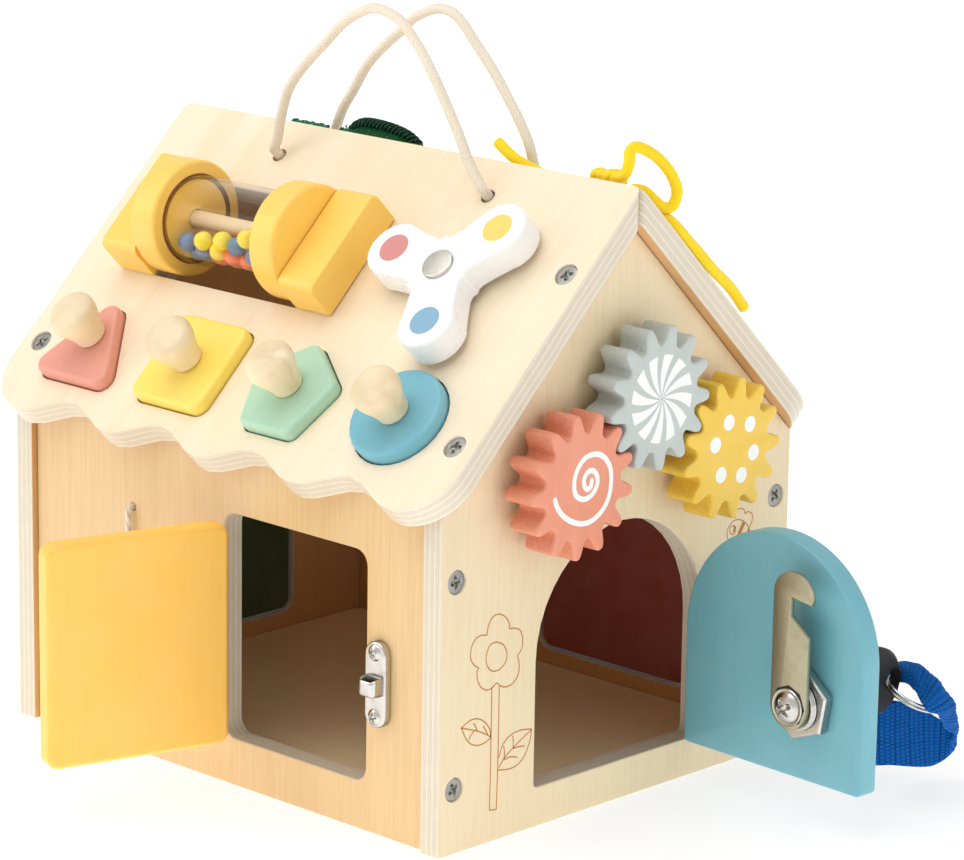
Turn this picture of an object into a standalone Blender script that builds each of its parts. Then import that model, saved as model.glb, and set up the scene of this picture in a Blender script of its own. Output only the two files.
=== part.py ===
# Activity house: two gables, two walls, a floor and a mitred roof of plywood,
# four doors, three gears, a spinner, a bead drum, four shape pegs, rope handles.
# Metres, +Z up. The square yellow door's wall faces -Y, the arched gable faces +X.
import math
import bpy
import bmesh
from mathutils import Matrix, Vector

for thing in list(bpy.data.objects):
    bpy.data.objects.remove(thing, do_unlink=True)

# the box
houseLength = 0.200        # over the outer faces of the two gables, along X
houseDepth = 0.1634        # gable board width, along Y
eaveHeight = 0.109         # gable board height at its front and back edges
boardThick = 0.008         # plywood of gables, walls and doors
floorThick = 0.0085
wallRecess = 0.0021        # front and back walls stand back from the gable edges
gap = 0.0003               # air between pieces that touch
roofAngle = math.radians(44.35)

# the roof
roofThick = 0.0086
roofLength = 0.2094
roofCornerRadius = 0.003
waveMid = 0.1249           # distance from the ridge down the slope to the middle of the wave
waveDepth = 0.0036
wavePitch = 0.0434
endRadius = 0.0179
ropeHoleSpread = 0.0482
ropeHoleDown = 0.014
ropeHoleRadius = 0.0026

# openings and doors
doorGap = 0.0010
frontPost = 0.0343          # wall left between an opening and the right gable's outer face
frontOpenWide = 0.0652
frontOpenRight = houseLength / 2 - frontPost
frontOpenLeft = frontOpenRight - frontOpenWide
frontOpenLow = 0.0159
frontOpenHigh = 0.0910
cornerRadius = 0.0050
archHalf = 0.0390
archLow = 0.0131
archHigh = 0.0931
archCornerRadius = 0.0016
sideOpenHalf = 0.0385
sideOpenLow = 0.0140
sideOpenHigh = 0.0890
backPost = 0.0340
backOpenWide = 0.0680
backOpenRight = houseLength / 2 - backPost
backOpenLeft = backOpenRight - backOpenWide
backOpenLow = 0.0134
backOpenHigh = 0.0890
doorArris = 0.0012
frontDoorTurn = math.radians(106.0)
archDoorTurn = math.radians(87.4)

# hinges
barrelRadius = 0.0022
pinRadius = 0.0008
leafWidth = 0.0115
leafThick = 0.0010
hingeLength = 0.050
middleShare = 0.34

# gears
toothCount = 13
gearThick = 0.012
gearStandOff = 0.003
gearSpread = 0.0352
gearLowHeight = 0.1131
gearHighHeight = 0.1353
tipRadius = 0.0223
rootRadius = 0.0172
axleRadius = 0.0029
collarRadius = 0.0055
boreDepth = 0.0090
gearPhase = math.radians(21.5)

# spinner
spinAcross = 0.0593
spinDown = 0.0490
spinStandOff = 0.0018
spinThick = 0.0102
lobeOut = 0.0218
lobeRadius = 0.0100
waistRadius = 0.0121
spinEdge = 0.0010
spinTurn = math.radians(67.3)
boltRadius = 0.0024
boltHeadRadius = 0.0051
boltHeadThick = 0.0012
boltCollarRadius = 0.0045

# bead drum
drumAcross = -0.0324
drumDown = 0.0490
drumRise = 0.0083
drumLength = 0.0682
capRadius = 0.0194
capThick = 0.0110
capEdge = 0.0008
tubeRadius = 0.0147
tubeWall = 0.0012
tubeInset = 0.0030
dowelRadius = 0.0029
dowelInset = 0.0080
blockWidth = 0.0162
blockDepth = 0.0400
blockHeight = 0.0142
blockRound = 0.0030
slotLength = 0.0694
slotWidth = 0.0394

# shape pegs
pegSpread = 0.0470
pegDown = 0.0982
pegRise = 0.0044
pocketDepth = 0.0040
pocketEase = 0.0006
pegEdge = 0.0009
triangleHalf = 0.0196
triangleHigh = 0.0175
triangleLow = 0.0168
squareHalf = 0.0165
pentagonRadius = 0.0188
discRadius = 0.0165
knobBase = 0.0055
knobWide = 0.0083
knobHeight = 0.0150

# front door latch
latchHeight = 0.0506
keeperDrop = 0.0010
keeperAway = 0.0059          # from the opening's edge to the keeper's middle
keeperAcross = frontOpenRight + keeperAway
keeperHalfWidth = 0.0064
keeperHalfHeight = 0.0156
keeperThick = 0.0022
hookOut = 0.0066
hookHalf = 0.0030
hookWall = 0.0016
hookHigh = 0.0024
hookLow = 0.0022
latchPivotAcross = 0.0460
latchPlateHalf = 0.0075
latchPlateThick = 0.0022
barThick = 0.0017
barHalf = 0.0019
barReach = 0.0300
barTail = 0.0060

# cam lock, key and strap, in the arched door
lockAcross = 0.0539
lockHeight = 0.0404
lockHoleRadius = 0.0086
lockFlangeRadius = 0.0112
lockFlangeThick = 0.0022
lockBarrelRadius = 0.0082
lockBarrelIn = 0.0066
lockBoreRadius = 0.0053
plugRadius = 0.0050
nutAcross = 0.0213
nutThick = 0.0040
camThick = 0.0020
camHalf = 0.0074
camReach = 0.0440
camNotchFrom = 0.0240
camNotchTop = 0.0366
camNotchDepth = 0.0075
keyThick = 0.0018
keyHalf = 0.0031
keyIn = 0.0120
keyOut = 0.0104
bowRadius = 0.0113
bowOut = 0.0215
bowThick = 0.0046
bowHoleRadius = 0.0037
bowHoleOut = 0.0070
ringRadius = 0.0132
ringWire = 0.0011
ringTilt = math.radians(30)
ringDroop = math.radians(27)
strapThick = 0.0016
# the strap's closed route beside the key: across, up, out of the house, lean, half width
strapRoute = ((-0.0100, -0.0240, -0.0330, 0.0, 0.0096), (-0.0040, -0.0255, -0.0430, 0.0, 0.0096),
              (-0.0005, -0.0252, -0.0510, 0.1, 0.0090), (-0.0011, -0.0216, -0.0571, 0.3, 0.0072),
              (-0.0056, -0.0131, -0.0595, 0.6, 0.0054), (-0.0091, -0.0046, -0.0553, 1.2, 0.0048),
              (-0.0065, -0.0015, -0.0480, 1.3, 0.0044), (-0.0050, -0.0055, -0.0395, 1.1, 0.0044),
              (-0.0095, -0.0120, -0.0345, 0.8, 0.0052), (-0.0150, -0.0200, -0.0305, 0.4, 0.0075))

# wooden turn button of the left door
buttonHalf = 0.0045
buttonReach = 0.0130
buttonThick = 0.0045
buttonAway = 0.0085
buttonPinRadius = 0.0017

# barrel bolt of the back door
boltPlateThick = 0.0012
boltPlateHalf = 0.0070
boltPlateFrom = 0.0360
rodRadius = 0.0018
rodLength = 0.0285
guideLength = 0.0030
guideWall = 0.0013
guideInset = 0.0020
rodKnobAt = 0.0110
rodKnobRadius = 0.0016
rodKnobOut = 0.0062
boltKeeperAway = 0.0050
boltKeeperHalf = 0.0030

# cords
ropeRadius = 0.0016
laceRadius = 0.00165
pullRadius = 0.0010
pullAcross = -0.0437
pullHeight = 0.0835
pullHoleRadius = 0.0014

# routes of the cords, chosen by hand: points in metres
frontRope = ((-0.0470, -0.0120, 0.1975), (-0.0458, -0.0118, 0.2040), (-0.0421, -0.0118, 0.2140),
             (-0.0345, -0.0120, 0.2229), (-0.0242, -0.0120, 0.2320), (-0.0149, -0.0120, 0.2400),
             (-0.0029, -0.0120, 0.2454), (0.0081, -0.0120, 0.2439), (0.0154, -0.0120, 0.2386),
             (0.0236, -0.0120, 0.2293), (0.0310, -0.0120, 0.2187), (0.0369, -0.0120, 0.2095),
             (0.0425, -0.0122, 0.2000))
rearRope = ((-0.0430, 0.0110, 0.1965), (-0.0372, 0.0095, 0.2055), (-0.0329, 0.0095, 0.2121),
            (-0.0264, 0.0095, 0.2223), (-0.0185, 0.0095, 0.2295), (-0.0107, 0.0095, 0.2354),
            (-0.0038, 0.0095, 0.2408), (0.0066, 0.0095, 0.2444), (0.0148, 0.0095, 0.2426),
            (0.0226, 0.0095, 0.2354), (0.0308, 0.0095, 0.2273), (0.0377, 0.0095, 0.2191),
            (0.0432, 0.0095, 0.2120), (0.0469, 0.0100, 0.2051), (0.0484, 0.0108, 0.1985))
lace = ((0.0385, 0.0038, 0.2060), (0.0458, 0.0040, 0.2016), (0.0530, 0.0060, 0.1984),
        (0.0640, 0.0090, 0.1950), (0.0750, 0.0075, 0.1965), (0.0830, 0.0042, 0.2012),
        (0.0890, 0.0040, 0.2015), (0.0938, 0.0040, 0.2020), (0.0952, 0.0043, 0.2062),
        (0.0945, 0.0045, 0.2098), (0.0955, 0.0072, 0.2122), (0.0972, 0.0127, 0.2102),
        (0.0990, 0.0181, 0.2048), (0.1003, 0.0222, 0.1980), (0.1008, 0.0238, 0.1930),
        (0.1000, 0.0212, 0.1896), (0.0985, 0.0170, 0.1912), (0.0972, 0.0130, 0.1962),
        (0.0945, 0.0092, 0.1985), (0.0900, 0.0094, 0.1968), (0.0878, 0.0134, 0.1908),
        (0.0930, 0.0160, 0.1872), (0.1000, 0.0190, 0.1856), (0.1036, 0.0245, 0.1810),
        (0.1040, 0.0355, 0.1732), (0.1040, 0.0447, 0.1641), (0.1040, 0.0535, 0.1548))
pullCord = ((-0.0437, -0.0670, 0.0835), (-0.0437, -0.0730, 0.0835), (-0.0437, -0.0800, 0.0836),
            (-0.0437, -0.0811, 0.0829), (-0.0437, -0.0815, 0.0808), (-0.0437, -0.0814, 0.0720),
            (-0.0436, -0.0813, 0.0600), (-0.0437, -0.0814, 0.0480))

# felt leaf on the rear roof slope
patchLeft = -0.0340
patchRight = 0.0050
patchDown = 0.0046
patchHalf = 0.0040
patchThin = 0.0012
patchThick = 0.0062
patchLobeShare = 0.10

halfLength = houseLength / 2
halfDepth = houseDepth / 2
slopeCos = math.cos(roofAngle)
slopeSin = math.sin(roofAngle)
slopeTan = math.tan(roofAngle)
ridgeUnder = eaveHeight + halfDepth * slopeTan
ridgeTop = ridgeUnder + roofThick / slopeCos
wallFace = halfDepth - wallRecess
axisOut = barrelRadius + gap


# placing helpers: each returns a function from local numbers to a world point

def front_slope(u, v, n):
    return Vector((u, -v * slopeCos - n * slopeSin, ridgeTop - v * slopeSin + n * slopeCos))


def rear_slope(u, v, n):
    return Vector((u, v * slopeCos + n * slopeSin, ridgeTop - v * slopeSin + n * slopeCos))


def along_x(u, v, n):
    return Vector((n, u, v))


def along_y(u, v, n):
    return Vector((u, n, v))


def along_z(u, v, n):
    return Vector((u, v, n))


def turned_about(place, centre, angle):
    spin = Matrix.Rotation(angle, 3, "Z")
    return lambda u, v, n: centre + spin @ (place(u, v, n) - centre)


# mesh helpers

def paint(thing, name, colour, rough=0.5, metal=0.0):
    paintwork = bpy.data.materials.new(name)
    paintwork.use_nodes = True
    shader = paintwork.node_tree.nodes["Principled BSDF"]
    shader.inputs["Base Color"].default_value = (*colour, 1.0)
    shader.inputs["Roughness"].default_value = rough
    shader.inputs["Metallic"].default_value = metal
    thing.data.materials.append(paintwork)


def finish(name, work, origin, colour, rough=0.5, metal=0.0):
    origin = Vector(origin)
    bmesh.ops.remove_doubles(work, verts=work.verts, dist=gap / 100)
    bmesh.ops.recalc_face_normals(work, faces=work.faces)
    if work.calc_volume(signed=True) < 0:
        bmesh.ops.reverse_faces(work, faces=work.faces)
    bmesh.ops.translate(work, verts=work.verts, vec=-origin)
    mesh = bpy.data.meshes.new(name)
    work.to_mesh(mesh)
    work.free()
    thing = bpy.data.objects.new(name, mesh)
    thing.location = origin
    bpy.context.scene.collection.objects.link(thing)
    if colour is not None:
        paint(thing, name, colour, rough, metal)
    return thing


def slab(outlines, low, high, place, edge=0.0):
    """A board: the first outline is its rim, the others are holes through it."""
    work = bmesh.new()
    levels = [(low, 0.0), (high, 0.0)]
    if edge > 0:
        levels = [(low, edge), (low + edge, 0.0), (high - edge, 0.0), (high, edge)]
    caps = []
    for index, outline in enumerate(outlines):
        rings = []
        for level, inset in levels:
            shape = shrink(outline, inset if index == 0 else 0.0)
            rings.append([work.verts.new(place(u, v, level)) for u, v in shape])
        count = len(outline)
        for one, two in zip(rings, rings[1:]):
            for k in range(count):
                work.faces.new((one[k], one[(k + 1) % count], two[(k + 1) % count], two[k]))
        caps.append((rings[0], rings[-1]))
    for side in (0, 1):
        edges = []
        for pair in caps:
            ring = pair[side]
            for k in range(len(ring)):
                edges.append(work.edges.get((ring[k], ring[(k + 1) % len(ring)])))
        bmesh.ops.triangle_fill(work, edges=edges, use_beauty=True, use_dissolve=False)
    return work


def shrink(outline, inset):
    if inset <= 0:
        return outline
    shape = []
    count = len(outline)
    area = sum(outline[k][0] * outline[(k + 1) % count][1] - outline[(k + 1) % count][0] * outline[k][1]
               for k in range(count))
    sense = 1 if area > 0 else -1
    for k in range(count):
        here = Vector(outline[k])
        before = (here - Vector(outline[k - 1])).normalized()
        after = (Vector(outline[(k + 1) % count]) - here).normalized()
        first = Vector((-before.y, before.x)) * sense
        second = Vector((-after.y, after.x)) * sense
        middle = (first + second).normalized()
        reach = inset / max(middle.dot(first), 0.5)
        shape.append(tuple(here + middle * reach))
    return shape


def turned(profile, place, segments, loop):
    """Sweep (radius, height) pairs about the local axis; ends on the axis close to a point."""
    work = bmesh.new()
    rings = []
    for radius, height in profile:
        if radius <= gap / 10:
            rings.append([work.verts.new(place(0, 0, height))])
        else:
            rings.append([work.verts.new(place(radius * math.cos(2 * math.pi * k / segments),
                                               radius * math.sin(2 * math.pi * k / segments), height))
                          for k in range(segments)])
    pairs = list(zip(rings, rings[1:]))
    if loop:
        pairs.append((rings[-1], rings[0]))
    for one, two in pairs:
        for k in range(segments):
            after = (k + 1) % segments
            if len(one) == 1 and len(two) == 1:
                continue
            if len(one) == 1:
                work.faces.new((one[0], two[k], two[after]))
            elif len(two) == 1:
                work.faces.new((one[k], one[after], two[0]))
            else:
                work.faces.new((one[k], one[after], two[after], two[k]))
    return work


def centred(place, u0, v0, n0=0.0, flip=1):
    return lambda u, v, n: place(u0 + u, v0 + v, n0 + flip * n)


def cut(thing, tools):
    for index, tool in enumerate(tools):
        tool.hide_render = True
        tool.display_type = "WIRE"
        step = thing.modifiers.new("cut %d" % index, "BOOLEAN")
        step.operation = "DIFFERENCE"
        step.solver = "EXACT"
        step.object = tool


# outlines

def rounded(left, right, low, high, radius, steps=5):
    shape = []
    corners = ((right, low, -90), (right, high, 0), (left, high, 90), (left, low, 180))
    for across, up, start in corners:
        cx = across - radius if across == right else across + radius
        cy = up + radius if up == low else up - radius
        for k in range(steps + 1):
            angle = math.radians(start + 90 * k / steps)
            shape.append((cx + radius * math.cos(angle), cy + radius * math.sin(angle)))
    return shape


def circle(u, v, radius, steps=24, turn=0.0):
    return [(u + radius * math.cos(turn + 2 * math.pi * k / steps),
             v + radius * math.sin(turn + 2 * math.pi * k / steps)) for k in range(steps)]


def arched(half, low, high, corner, steps=20):
    middle = high - half
    shape = []
    for k in range(4):
        angle = math.radians(-90 + 30 * k)
        shape.append((half - corner + corner * math.cos(angle), low + corner + corner * math.sin(angle)))
    for k in range(steps + 1):
        angle = math.pi * k / steps
        shape.append((half * math.cos(angle), middle + half * math.sin(angle)))
    for k in range(4):
        angle = math.radians(180 + 30 * k)
        shape.append((-half + corner + corner * math.cos(angle), low + corner + corner * math.sin(angle)))
    return shape


def softened(points, radius, steps=4):
    """Round the corners of a convex outline, listed counterclockwise."""
    shape = []
    count = len(points)
    for k in range(count):
        here = Vector(points[k])
        before = (Vector(points[k - 1]) - here).normalized()
        after = (Vector(points[(k + 1) % count]) - here).normalized()
        half = before.angle(after) / 2
        centre = here + (before + after).normalized() * radius / math.sin(half)
        first = here + before * radius / math.tan(half) - centre
        second = here + after * radius / math.tan(half) - centre
        start = math.atan2(first.y, first.x)
        sweep = (math.atan2(second.y, second.x) - start + math.pi) % (2 * math.pi) - math.pi
        for j in range(steps + 1):
            angle = start + sweep * j / steps
            shape.append((centre.x + radius * math.cos(angle), centre.y + radius * math.sin(angle)))
    return shape


# the house

def gable_outline():
    under = eaveHeight - gap
    half = halfDepth
    top = ridgeUnder - gap
    return [(half, 0.0), (half, under), (0.0, top), (-half, under), (-half, 0.0)]


def build_gables():
    holes = [arched(archHalf, archLow, archHigh, archCornerRadius)]
    for across, height in gear_centres():
        holes.append(circle(across, height, axleRadius + gap, 16))
    right = slab([gable_outline()] + holes, halfLength - boardThick, halfLength, along_x)
    finish("gable_right", right, (halfLength - boardThick / 2, 0, 0), (0.80, 0.62, 0.40))
    side = rounded(-sideOpenHalf, sideOpenHalf, sideOpenLow, sideOpenHigh, cornerRadius)
    left = slab([gable_outline(), side], -halfLength, -halfLength + boardThick, along_x)
    finish("gable_left", left, (-halfLength + boardThick / 2, 0, 0), (0.80, 0.62, 0.40))


def build_walls():
    half = halfLength - boardThick - gap
    high = ridgeUnder - wallFace * slopeTan - gap
    rim = [(half, 0.0), (half, high), (-half, high), (-half, 0.0)]
    front = rounded(frontOpenLeft, frontOpenRight, frontOpenLow, frontOpenHigh, cornerRadius)
    pull = circle(pullAcross, pullHeight, pullHoleRadius, 12)
    work = slab([rim, front, pull], -wallFace, -wallFace + boardThick, along_y)
    finish("wall_front", work, (0, -wallFace + boardThick / 2, 0), (0.78, 0.56, 0.32))
    back = rounded(backOpenLeft, backOpenRight, backOpenLow, backOpenHigh, cornerRadius)
    work = slab([rim, back], wallFace - boardThick, wallFace, along_y)
    finish("wall_back", work, (0, wallFace - boardThick / 2, 0), (0.78, 0.56, 0.32))
    inner = wallFace - boardThick - gap
    plate = [(half, -inner), (half, inner), (-half, inner), (-half, -inner)]
    finish("floor", slab([plate], 0.0, floorThick, along_z), (0, 0, 0), (0.74, 0.54, 0.32))


def roof_outline():
    half = roofLength / 2
    corner = roofCornerRadius
    shape = []
    for k in range(4):
        angle = math.radians(180 + 30 * k)
        shape.append((-half + corner + corner * math.cos(angle), corner + corner * math.sin(angle)))
    for k in range(4):
        angle = math.radians(270 + 30 * k)
        shape.append((half - corner + corner * math.cos(angle), corner + corner * math.sin(angle)))
    start = 2 * wavePitch
    low = waveMid + waveDepth
    for k in range(8):
        angle = math.radians(90 * k / 8)
        across = start + (half - start) * math.cos(angle)
        shape.append((across, low - endRadius + endRadius * math.sin(angle)))
    for k in range(33):
        across = start - 2 * start * k / 32
        shape.append((across, waveMid + waveDepth * math.cos(2 * math.pi * across / wavePitch)))
    for k in range(1, 9):
        angle = math.radians(90 + 90 * k / 8)
        across = -start + (half - start) * math.cos(angle)
        shape.append((across, low - endRadius + endRadius * math.sin(angle)))
    return shape


def mitred(slope):
    def place(u, v, n):
        if v < 2 * roofCornerRadius:
            v = v + gap / 2 - n * slopeTan
        return slope(u, v, n)
    return place


def build_roof():
    ropes = [circle(side * ropeHoleSpread, ropeHoleDown, ropeHoleRadius, 16) for side in (-1, 1)]
    slotLeft = drumAcross - slotLength / 2
    slot = rounded(slotLeft, slotLeft + slotLength, drumDown - slotWidth / 2, drumDown + slotWidth / 2,
                   cornerRadius / 4, 2)
    post = circle(spinAcross, spinDown, boltRadius + gap, 16)
    work = slab([roof_outline(), slot, post] + ropes, -roofThick, 0.0, mitred(front_slope))
    board = finish("roof_front", work, front_slope(0, 0, 0), (0.84, 0.68, 0.46))
    tools = []
    for name, across, shape in peg_shapes():
        grown = shrink_out(shape, pocketEase)
        pocket = slab([grown], -pocketDepth, pocketDepth, front_slope)
        tools.append(finish("tool_pocket_" + name, pocket, (0, 0, 0), None))
    cut(board, tools)
    work = slab([roof_outline()] + ropes, -roofThick, 0.0, mitred(rear_slope))
    finish("roof_rear", work, rear_slope(0, 0, 0), (0.84, 0.68, 0.46))


# shape pegs

def shrink_out(outline, ease):
    shape = []
    count = len(outline)
    for k in range(count):
        here = Vector(outline[k])
        before = (here - Vector(outline[k - 1])).normalized()
        after = (Vector(outline[(k + 1) % count]) - here).normalized()
        outward = (Vector((before.y, -before.x)) + Vector((after.y, -after.x))).normalized()
        shape.append(tuple(here + outward * ease))
    return shape


def peg_shapes():
    shapes = []
    centres = [(k - 1.5) * pegSpread for k in range(4)]
    corner = discRadius / 4
    # listed counterclockwise in (across, down the slope)
    one = centres[0]
    three = [(one, pegDown - triangleHigh), (one + triangleHalf, pegDown + triangleLow),
             (one - triangleHalf, pegDown + triangleLow)]
    shapes.append(("triangle", one, softened(three, corner)))
    two = centres[1]
    four = [(two - squareHalf, pegDown - squareHalf), (two + squareHalf, pegDown - squareHalf),
            (two + squareHalf, pegDown + squareHalf), (two - squareHalf, pegDown + squareHalf)]
    shapes.append(("square", two, softened(four, corner)))
    across = centres[2]
    five = [(across + pentagonRadius * math.sin(2 * math.pi * k / 5),
             pegDown + pentagonRadius / 12 - pentagonRadius * math.cos(2 * math.pi * k / 5)) for k in range(5)]
    shapes.append(("pentagon", across, softened(five, corner * 0.8)))
    shapes.append(("disc", centres[3], circle(centres[3], pegDown, discRadius, 32)))
    return shapes


def build_pegs():
    colours = {"triangle": (0.85, 0.42, 0.34), "square": (0.93, 0.72, 0.16),
               "pentagon": (0.42, 0.66, 0.50), "disc": (0.25, 0.55, 0.66)}
    for name, across, shape in peg_shapes():
        origin = front_slope(across, pegDown, 0)
        plate = slab([shape], -pocketDepth + gap, pegRise, front_slope, pegEdge)
        finish("peg_" + name, plate, origin, colours[name])
        shares = ((0, 0), (0.96, 0), (1.05, 0.17), (1.27, 0.44), (1.46, 0.62), (1.48, 0.76), (1.2, 0.92),
                  (0.6, 0.99), (0, 1.0))
        profile = [(knobBase * r, pegRise + gap + knobHeight * h) for r, h in shares]
        knob = turned(profile, centred(front_slope, across, pegDown), 18, False)
        finish("knob_" + name, knob, origin, (0.80, 0.62, 0.40))


# gears

def gear_centres():
    return ((-gearSpread, gearLowHeight), (0.0, gearHighHeight), (gearSpread, gearLowHeight))


def gear_phases():
    """A tooth of one gear faces a gap of the next along the line between their centres."""
    pitch = 2 * math.pi / toothCount
    centres = gear_centres()
    phases = [0.0, gearPhase, 0.0]
    for other in (0, 2):
        line = math.atan2(centres[other][1] - centres[1][1], centres[other][0] - centres[1][0])
        share = ((line - gearPhase) / pitch) % 1.0
        phases[other] = line + math.pi - pitch * (0.5 - share)
    return phases


def gear_outline(across, height, phase):
    pitch = 2 * math.pi / toothCount
    depth = tipRadius - rootRadius
    shares = ((-0.42, 0.03), (-0.32, 0.20), (-0.20, 0.70), (-0.09, 0.98), (0.09, 0.98), (0.20, 0.70),
              (0.32, 0.20), (0.42, 0.03))
    shape = []
    for tooth in range(toothCount):
        for turn, rise in shares:
            angle = phase + pitch * (tooth + turn)
            radius = rootRadius + depth * rise
            shape.append((across + radius * math.cos(angle), height + radius * math.sin(angle)))
    return shape


def build_gears():
    names = ("gear_coral", "gear_grey", "gear_yellow")
    colours = ((0.82, 0.40, 0.26), (0.52, 0.55, 0.54), (0.87, 0.62, 0.12))
    back = halfLength + gearStandOff
    for index, (across, height) in enumerate(gear_centres()):
        outline = gear_outline(across, height, gear_phases()[index])
        origin = (back, across, height)
        gear = finish(names[index], slab([outline], back, back + gearThick, along_x), origin, colours[index])
        drill = slab([circle(across, height, axleRadius + gap, 16)], back - gap, back + boreDepth, along_x)
        cut(gear, [finish("tool_" + names[index], drill, (0, 0, 0), None)])
        profile = ((0, -boardThick + gap), (axleRadius, -boardThick + gap), (axleRadius, gap),
                   (collarRadius, gap), (collarRadius, gearStandOff - gap), (axleRadius, gearStandOff - gap),
                   (axleRadius, gearStandOff + boreDepth - gap), (0, gearStandOff + boreDepth - gap))
        axle = turned(profile, centred(along_x, across, height, halfLength), 16, False)
        finish("axle_" + names[index], axle, (halfLength, across, height), (0.60, 0.60, 0.60), 0.3, 1.0)


# spinner

def spinner_outline():
    shape = []
    arms = [spinTurn + 2 * math.pi * k / 3 for k in range(3)]
    for arm in arms:
        centre = Vector((lobeOut * math.cos(arm), lobeOut * math.sin(arm)))
        for k in range(11):
            angle = arm + math.radians(-110 + 22 * k)
            shape.append((centre.x + lobeRadius * math.cos(angle), centre.y + lobeRadius * math.sin(angle)))
        for k in range(3):
            angle = arm + math.radians(46 + 14 * k)
            shape.append((waistRadius * math.cos(angle), waistRadius * math.sin(angle)))
    return [(spinAcross + u, spinDown + v) for u, v in shape]


def build_spinner():
    low = spinStandOff
    high = spinStandOff + spinThick
    hole = circle(spinAcross, spinDown, boltRadius + gap, 16)
    work = slab([spinner_outline(), hole], low, high, front_slope, spinEdge)
    finish("spinner", work, front_slope(spinAcross, spinDown, low), (0.90, 0.90, 0.89), 0.3)
    profile = ((0, -roofThick), (boltRadius, -roofThick), (boltRadius, gap), (boltCollarRadius, gap),
               (boltCollarRadius, low - gap), (boltRadius, low - gap), (boltRadius, high + gap),
               (boltHeadRadius, high + gap), (boltHeadRadius, high + boltHeadThick * 0.6),
               (boltHeadRadius * 0.8, high + boltHeadThick), (0, high + boltHeadThick))
    bolt = turned(profile, centred(front_slope, spinAcross, spinDown), 16, False)
    finish("spinner_bolt", bolt, front_slope(spinAcross, spinDown, 0), (0.62, 0.61, 0.57), 0.3, 1.0)


# bead drum

def drum_place(u, v, n):
    return front_slope(drumAcross + n, drumDown + u, drumRise + v)


def build_drum():
    half = drumLength / 2
    inner = half - gap - capThick
    bore = dowelRadius + gap
    gold = (0.93, 0.56, 0.13)
    grooveOut = tubeRadius + gap
    grooveIn = tubeRadius - tubeWall - gap
    origin = drum_place(0, 0, 0)
    for name, side in (("drum_cap_left", -1), ("drum_cap_right", 1)):
        outer = half - gap
        profile = [(bore, outer), (capRadius - capEdge, outer), (capRadius, outer - capEdge),
                   (capRadius, inner + capEdge), (capRadius - capEdge, inner), (grooveOut, inner),
                   (grooveOut, inner + tubeInset), (grooveIn, inner + tubeInset), (grooveIn, inner), (bore, inner)]
        work = turned([(r, side * h) for r, h in profile], drum_place, 32, True)
        finish(name, work, origin, gold, 0.4)
    reach = inner + tubeInset - gap
    ring = [(tubeRadius, -reach), (tubeRadius, reach), (tubeRadius - tubeWall, reach),
            (tubeRadius - tubeWall, -reach)]
    finish("drum_tube", turned(ring, drum_place, 32, True), origin, (0.85, 0.86, 0.86), 0.05)
    far = half + dowelInset
    rod = turned([(0, -far), (dowelRadius, -far), (dowelRadius, far), (0, far)], drum_place, 16, False)
    finish("drum_axle", rod, origin, (0.80, 0.62, 0.40))
    for name, side in (("drum_block_left", -1), ("drum_block_right", 1)):
        left = drumAcross + (half if side > 0 else -half - blockWidth)
        low = drumDown - blockDepth / 2
        high = drumDown + blockDepth / 2
        shape = block_outline(low, high)
        work = slab([shape], left, left + blockWidth, lambda v, n, u: front_slope(u, v, n))
        block = finish(name, work, front_slope(left, drumDown, 0), gold, 0.4)
        inside = side * (half - gap)
        drill = turned([(0, inside), (bore, inside), (bore, side * (far + gap)), (0, side * (far + gap))],
                       drum_place, 16, False)
        cut(block, [finish("tool_" + name, drill, (0, 0, 0), None)])


def block_outline(low, high):
    shape = [(low, gap), (high, gap)]
    for start, across in ((0, high - blockRound), (90, low + blockRound)):
        for k in range(5):
            angle = math.radians(start + 22.5 * k)
            shape.append((across + blockRound * math.cos(angle),
                          blockHeight - blockRound + blockRound * math.sin(angle)))
    return shape


# hinges

def leaf_profile(side):
    """Barrel about the axis and a flat leaf tangent to it, in (along the board, out of the board)."""
    top = -barrelRadius + leafThick
    shape = [(leafWidth, -barrelRadius), (leafWidth, top)]
    start = math.degrees(math.asin(top / barrelRadius))
    for k in range(10):
        angle = math.radians(start + (270 - start) * k / 9)
        shape.append((barrelRadius * math.cos(angle), barrelRadius * math.sin(angle)))
    return [(side * u, v) for u, v in shape]


def build_hinge(name, place, low, origin):
    """place(u, v, n): u along the board toward the door, v out of the board, n up; axis at u = v = 0."""
    mid = hingeLength * middleShare / 2
    centre = low + hingeLength / 2
    clear = barrelRadius + gap
    bore = pinRadius + gap
    fixed_place, moving_place = place
    fixed = slab([leaf_profile(-1)], low, low + hingeLength, fixed_place)
    fixed = finish(name + "_hinge_fixed", fixed, origin, (0.65, 0.65, 0.66), 0.3, 1.0)
    ring = [(pinRadius, centre - mid - gap), (clear, centre - mid - gap), (clear, centre + mid + gap),
            (pinRadius, centre + mid + gap)]
    cut(fixed, [finish("tool_" + name + "_fixed", turned(ring, fixed_place, 16, True), (0, 0, 0), None)])
    moving = slab([leaf_profile(1)], low, low + hingeLength, moving_place)
    moving = finish(name + "_hinge_moving", moving, origin, (0.65, 0.65, 0.66), 0.3, 1.0)
    over = clear
    bobbin = [(0, low - over), (clear, low - over), (clear, centre - mid), (bore, centre - mid),
              (bore, centre + mid), (clear, centre + mid), (clear, low + hingeLength + over),
              (0, low + hingeLength + over)]
    cut(moving, [finish("tool_" + name + "_moving", turned(bobbin, moving_place, 16, False), (0, 0, 0), None)])


# doors: s runs from the hinge axis along the closed door, m into the house, z up

def door_frame(hinge, along, inward, turn):
    spin = Matrix.Rotation(turn, 3, "Z")
    s_axis = spin @ Vector(along)
    m_axis = spin @ Vector(inward)
    hinge = Vector(hinge)
    return lambda s, z, m: hinge + s_axis * s + m_axis * m + Vector((0, 0, z))


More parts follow.
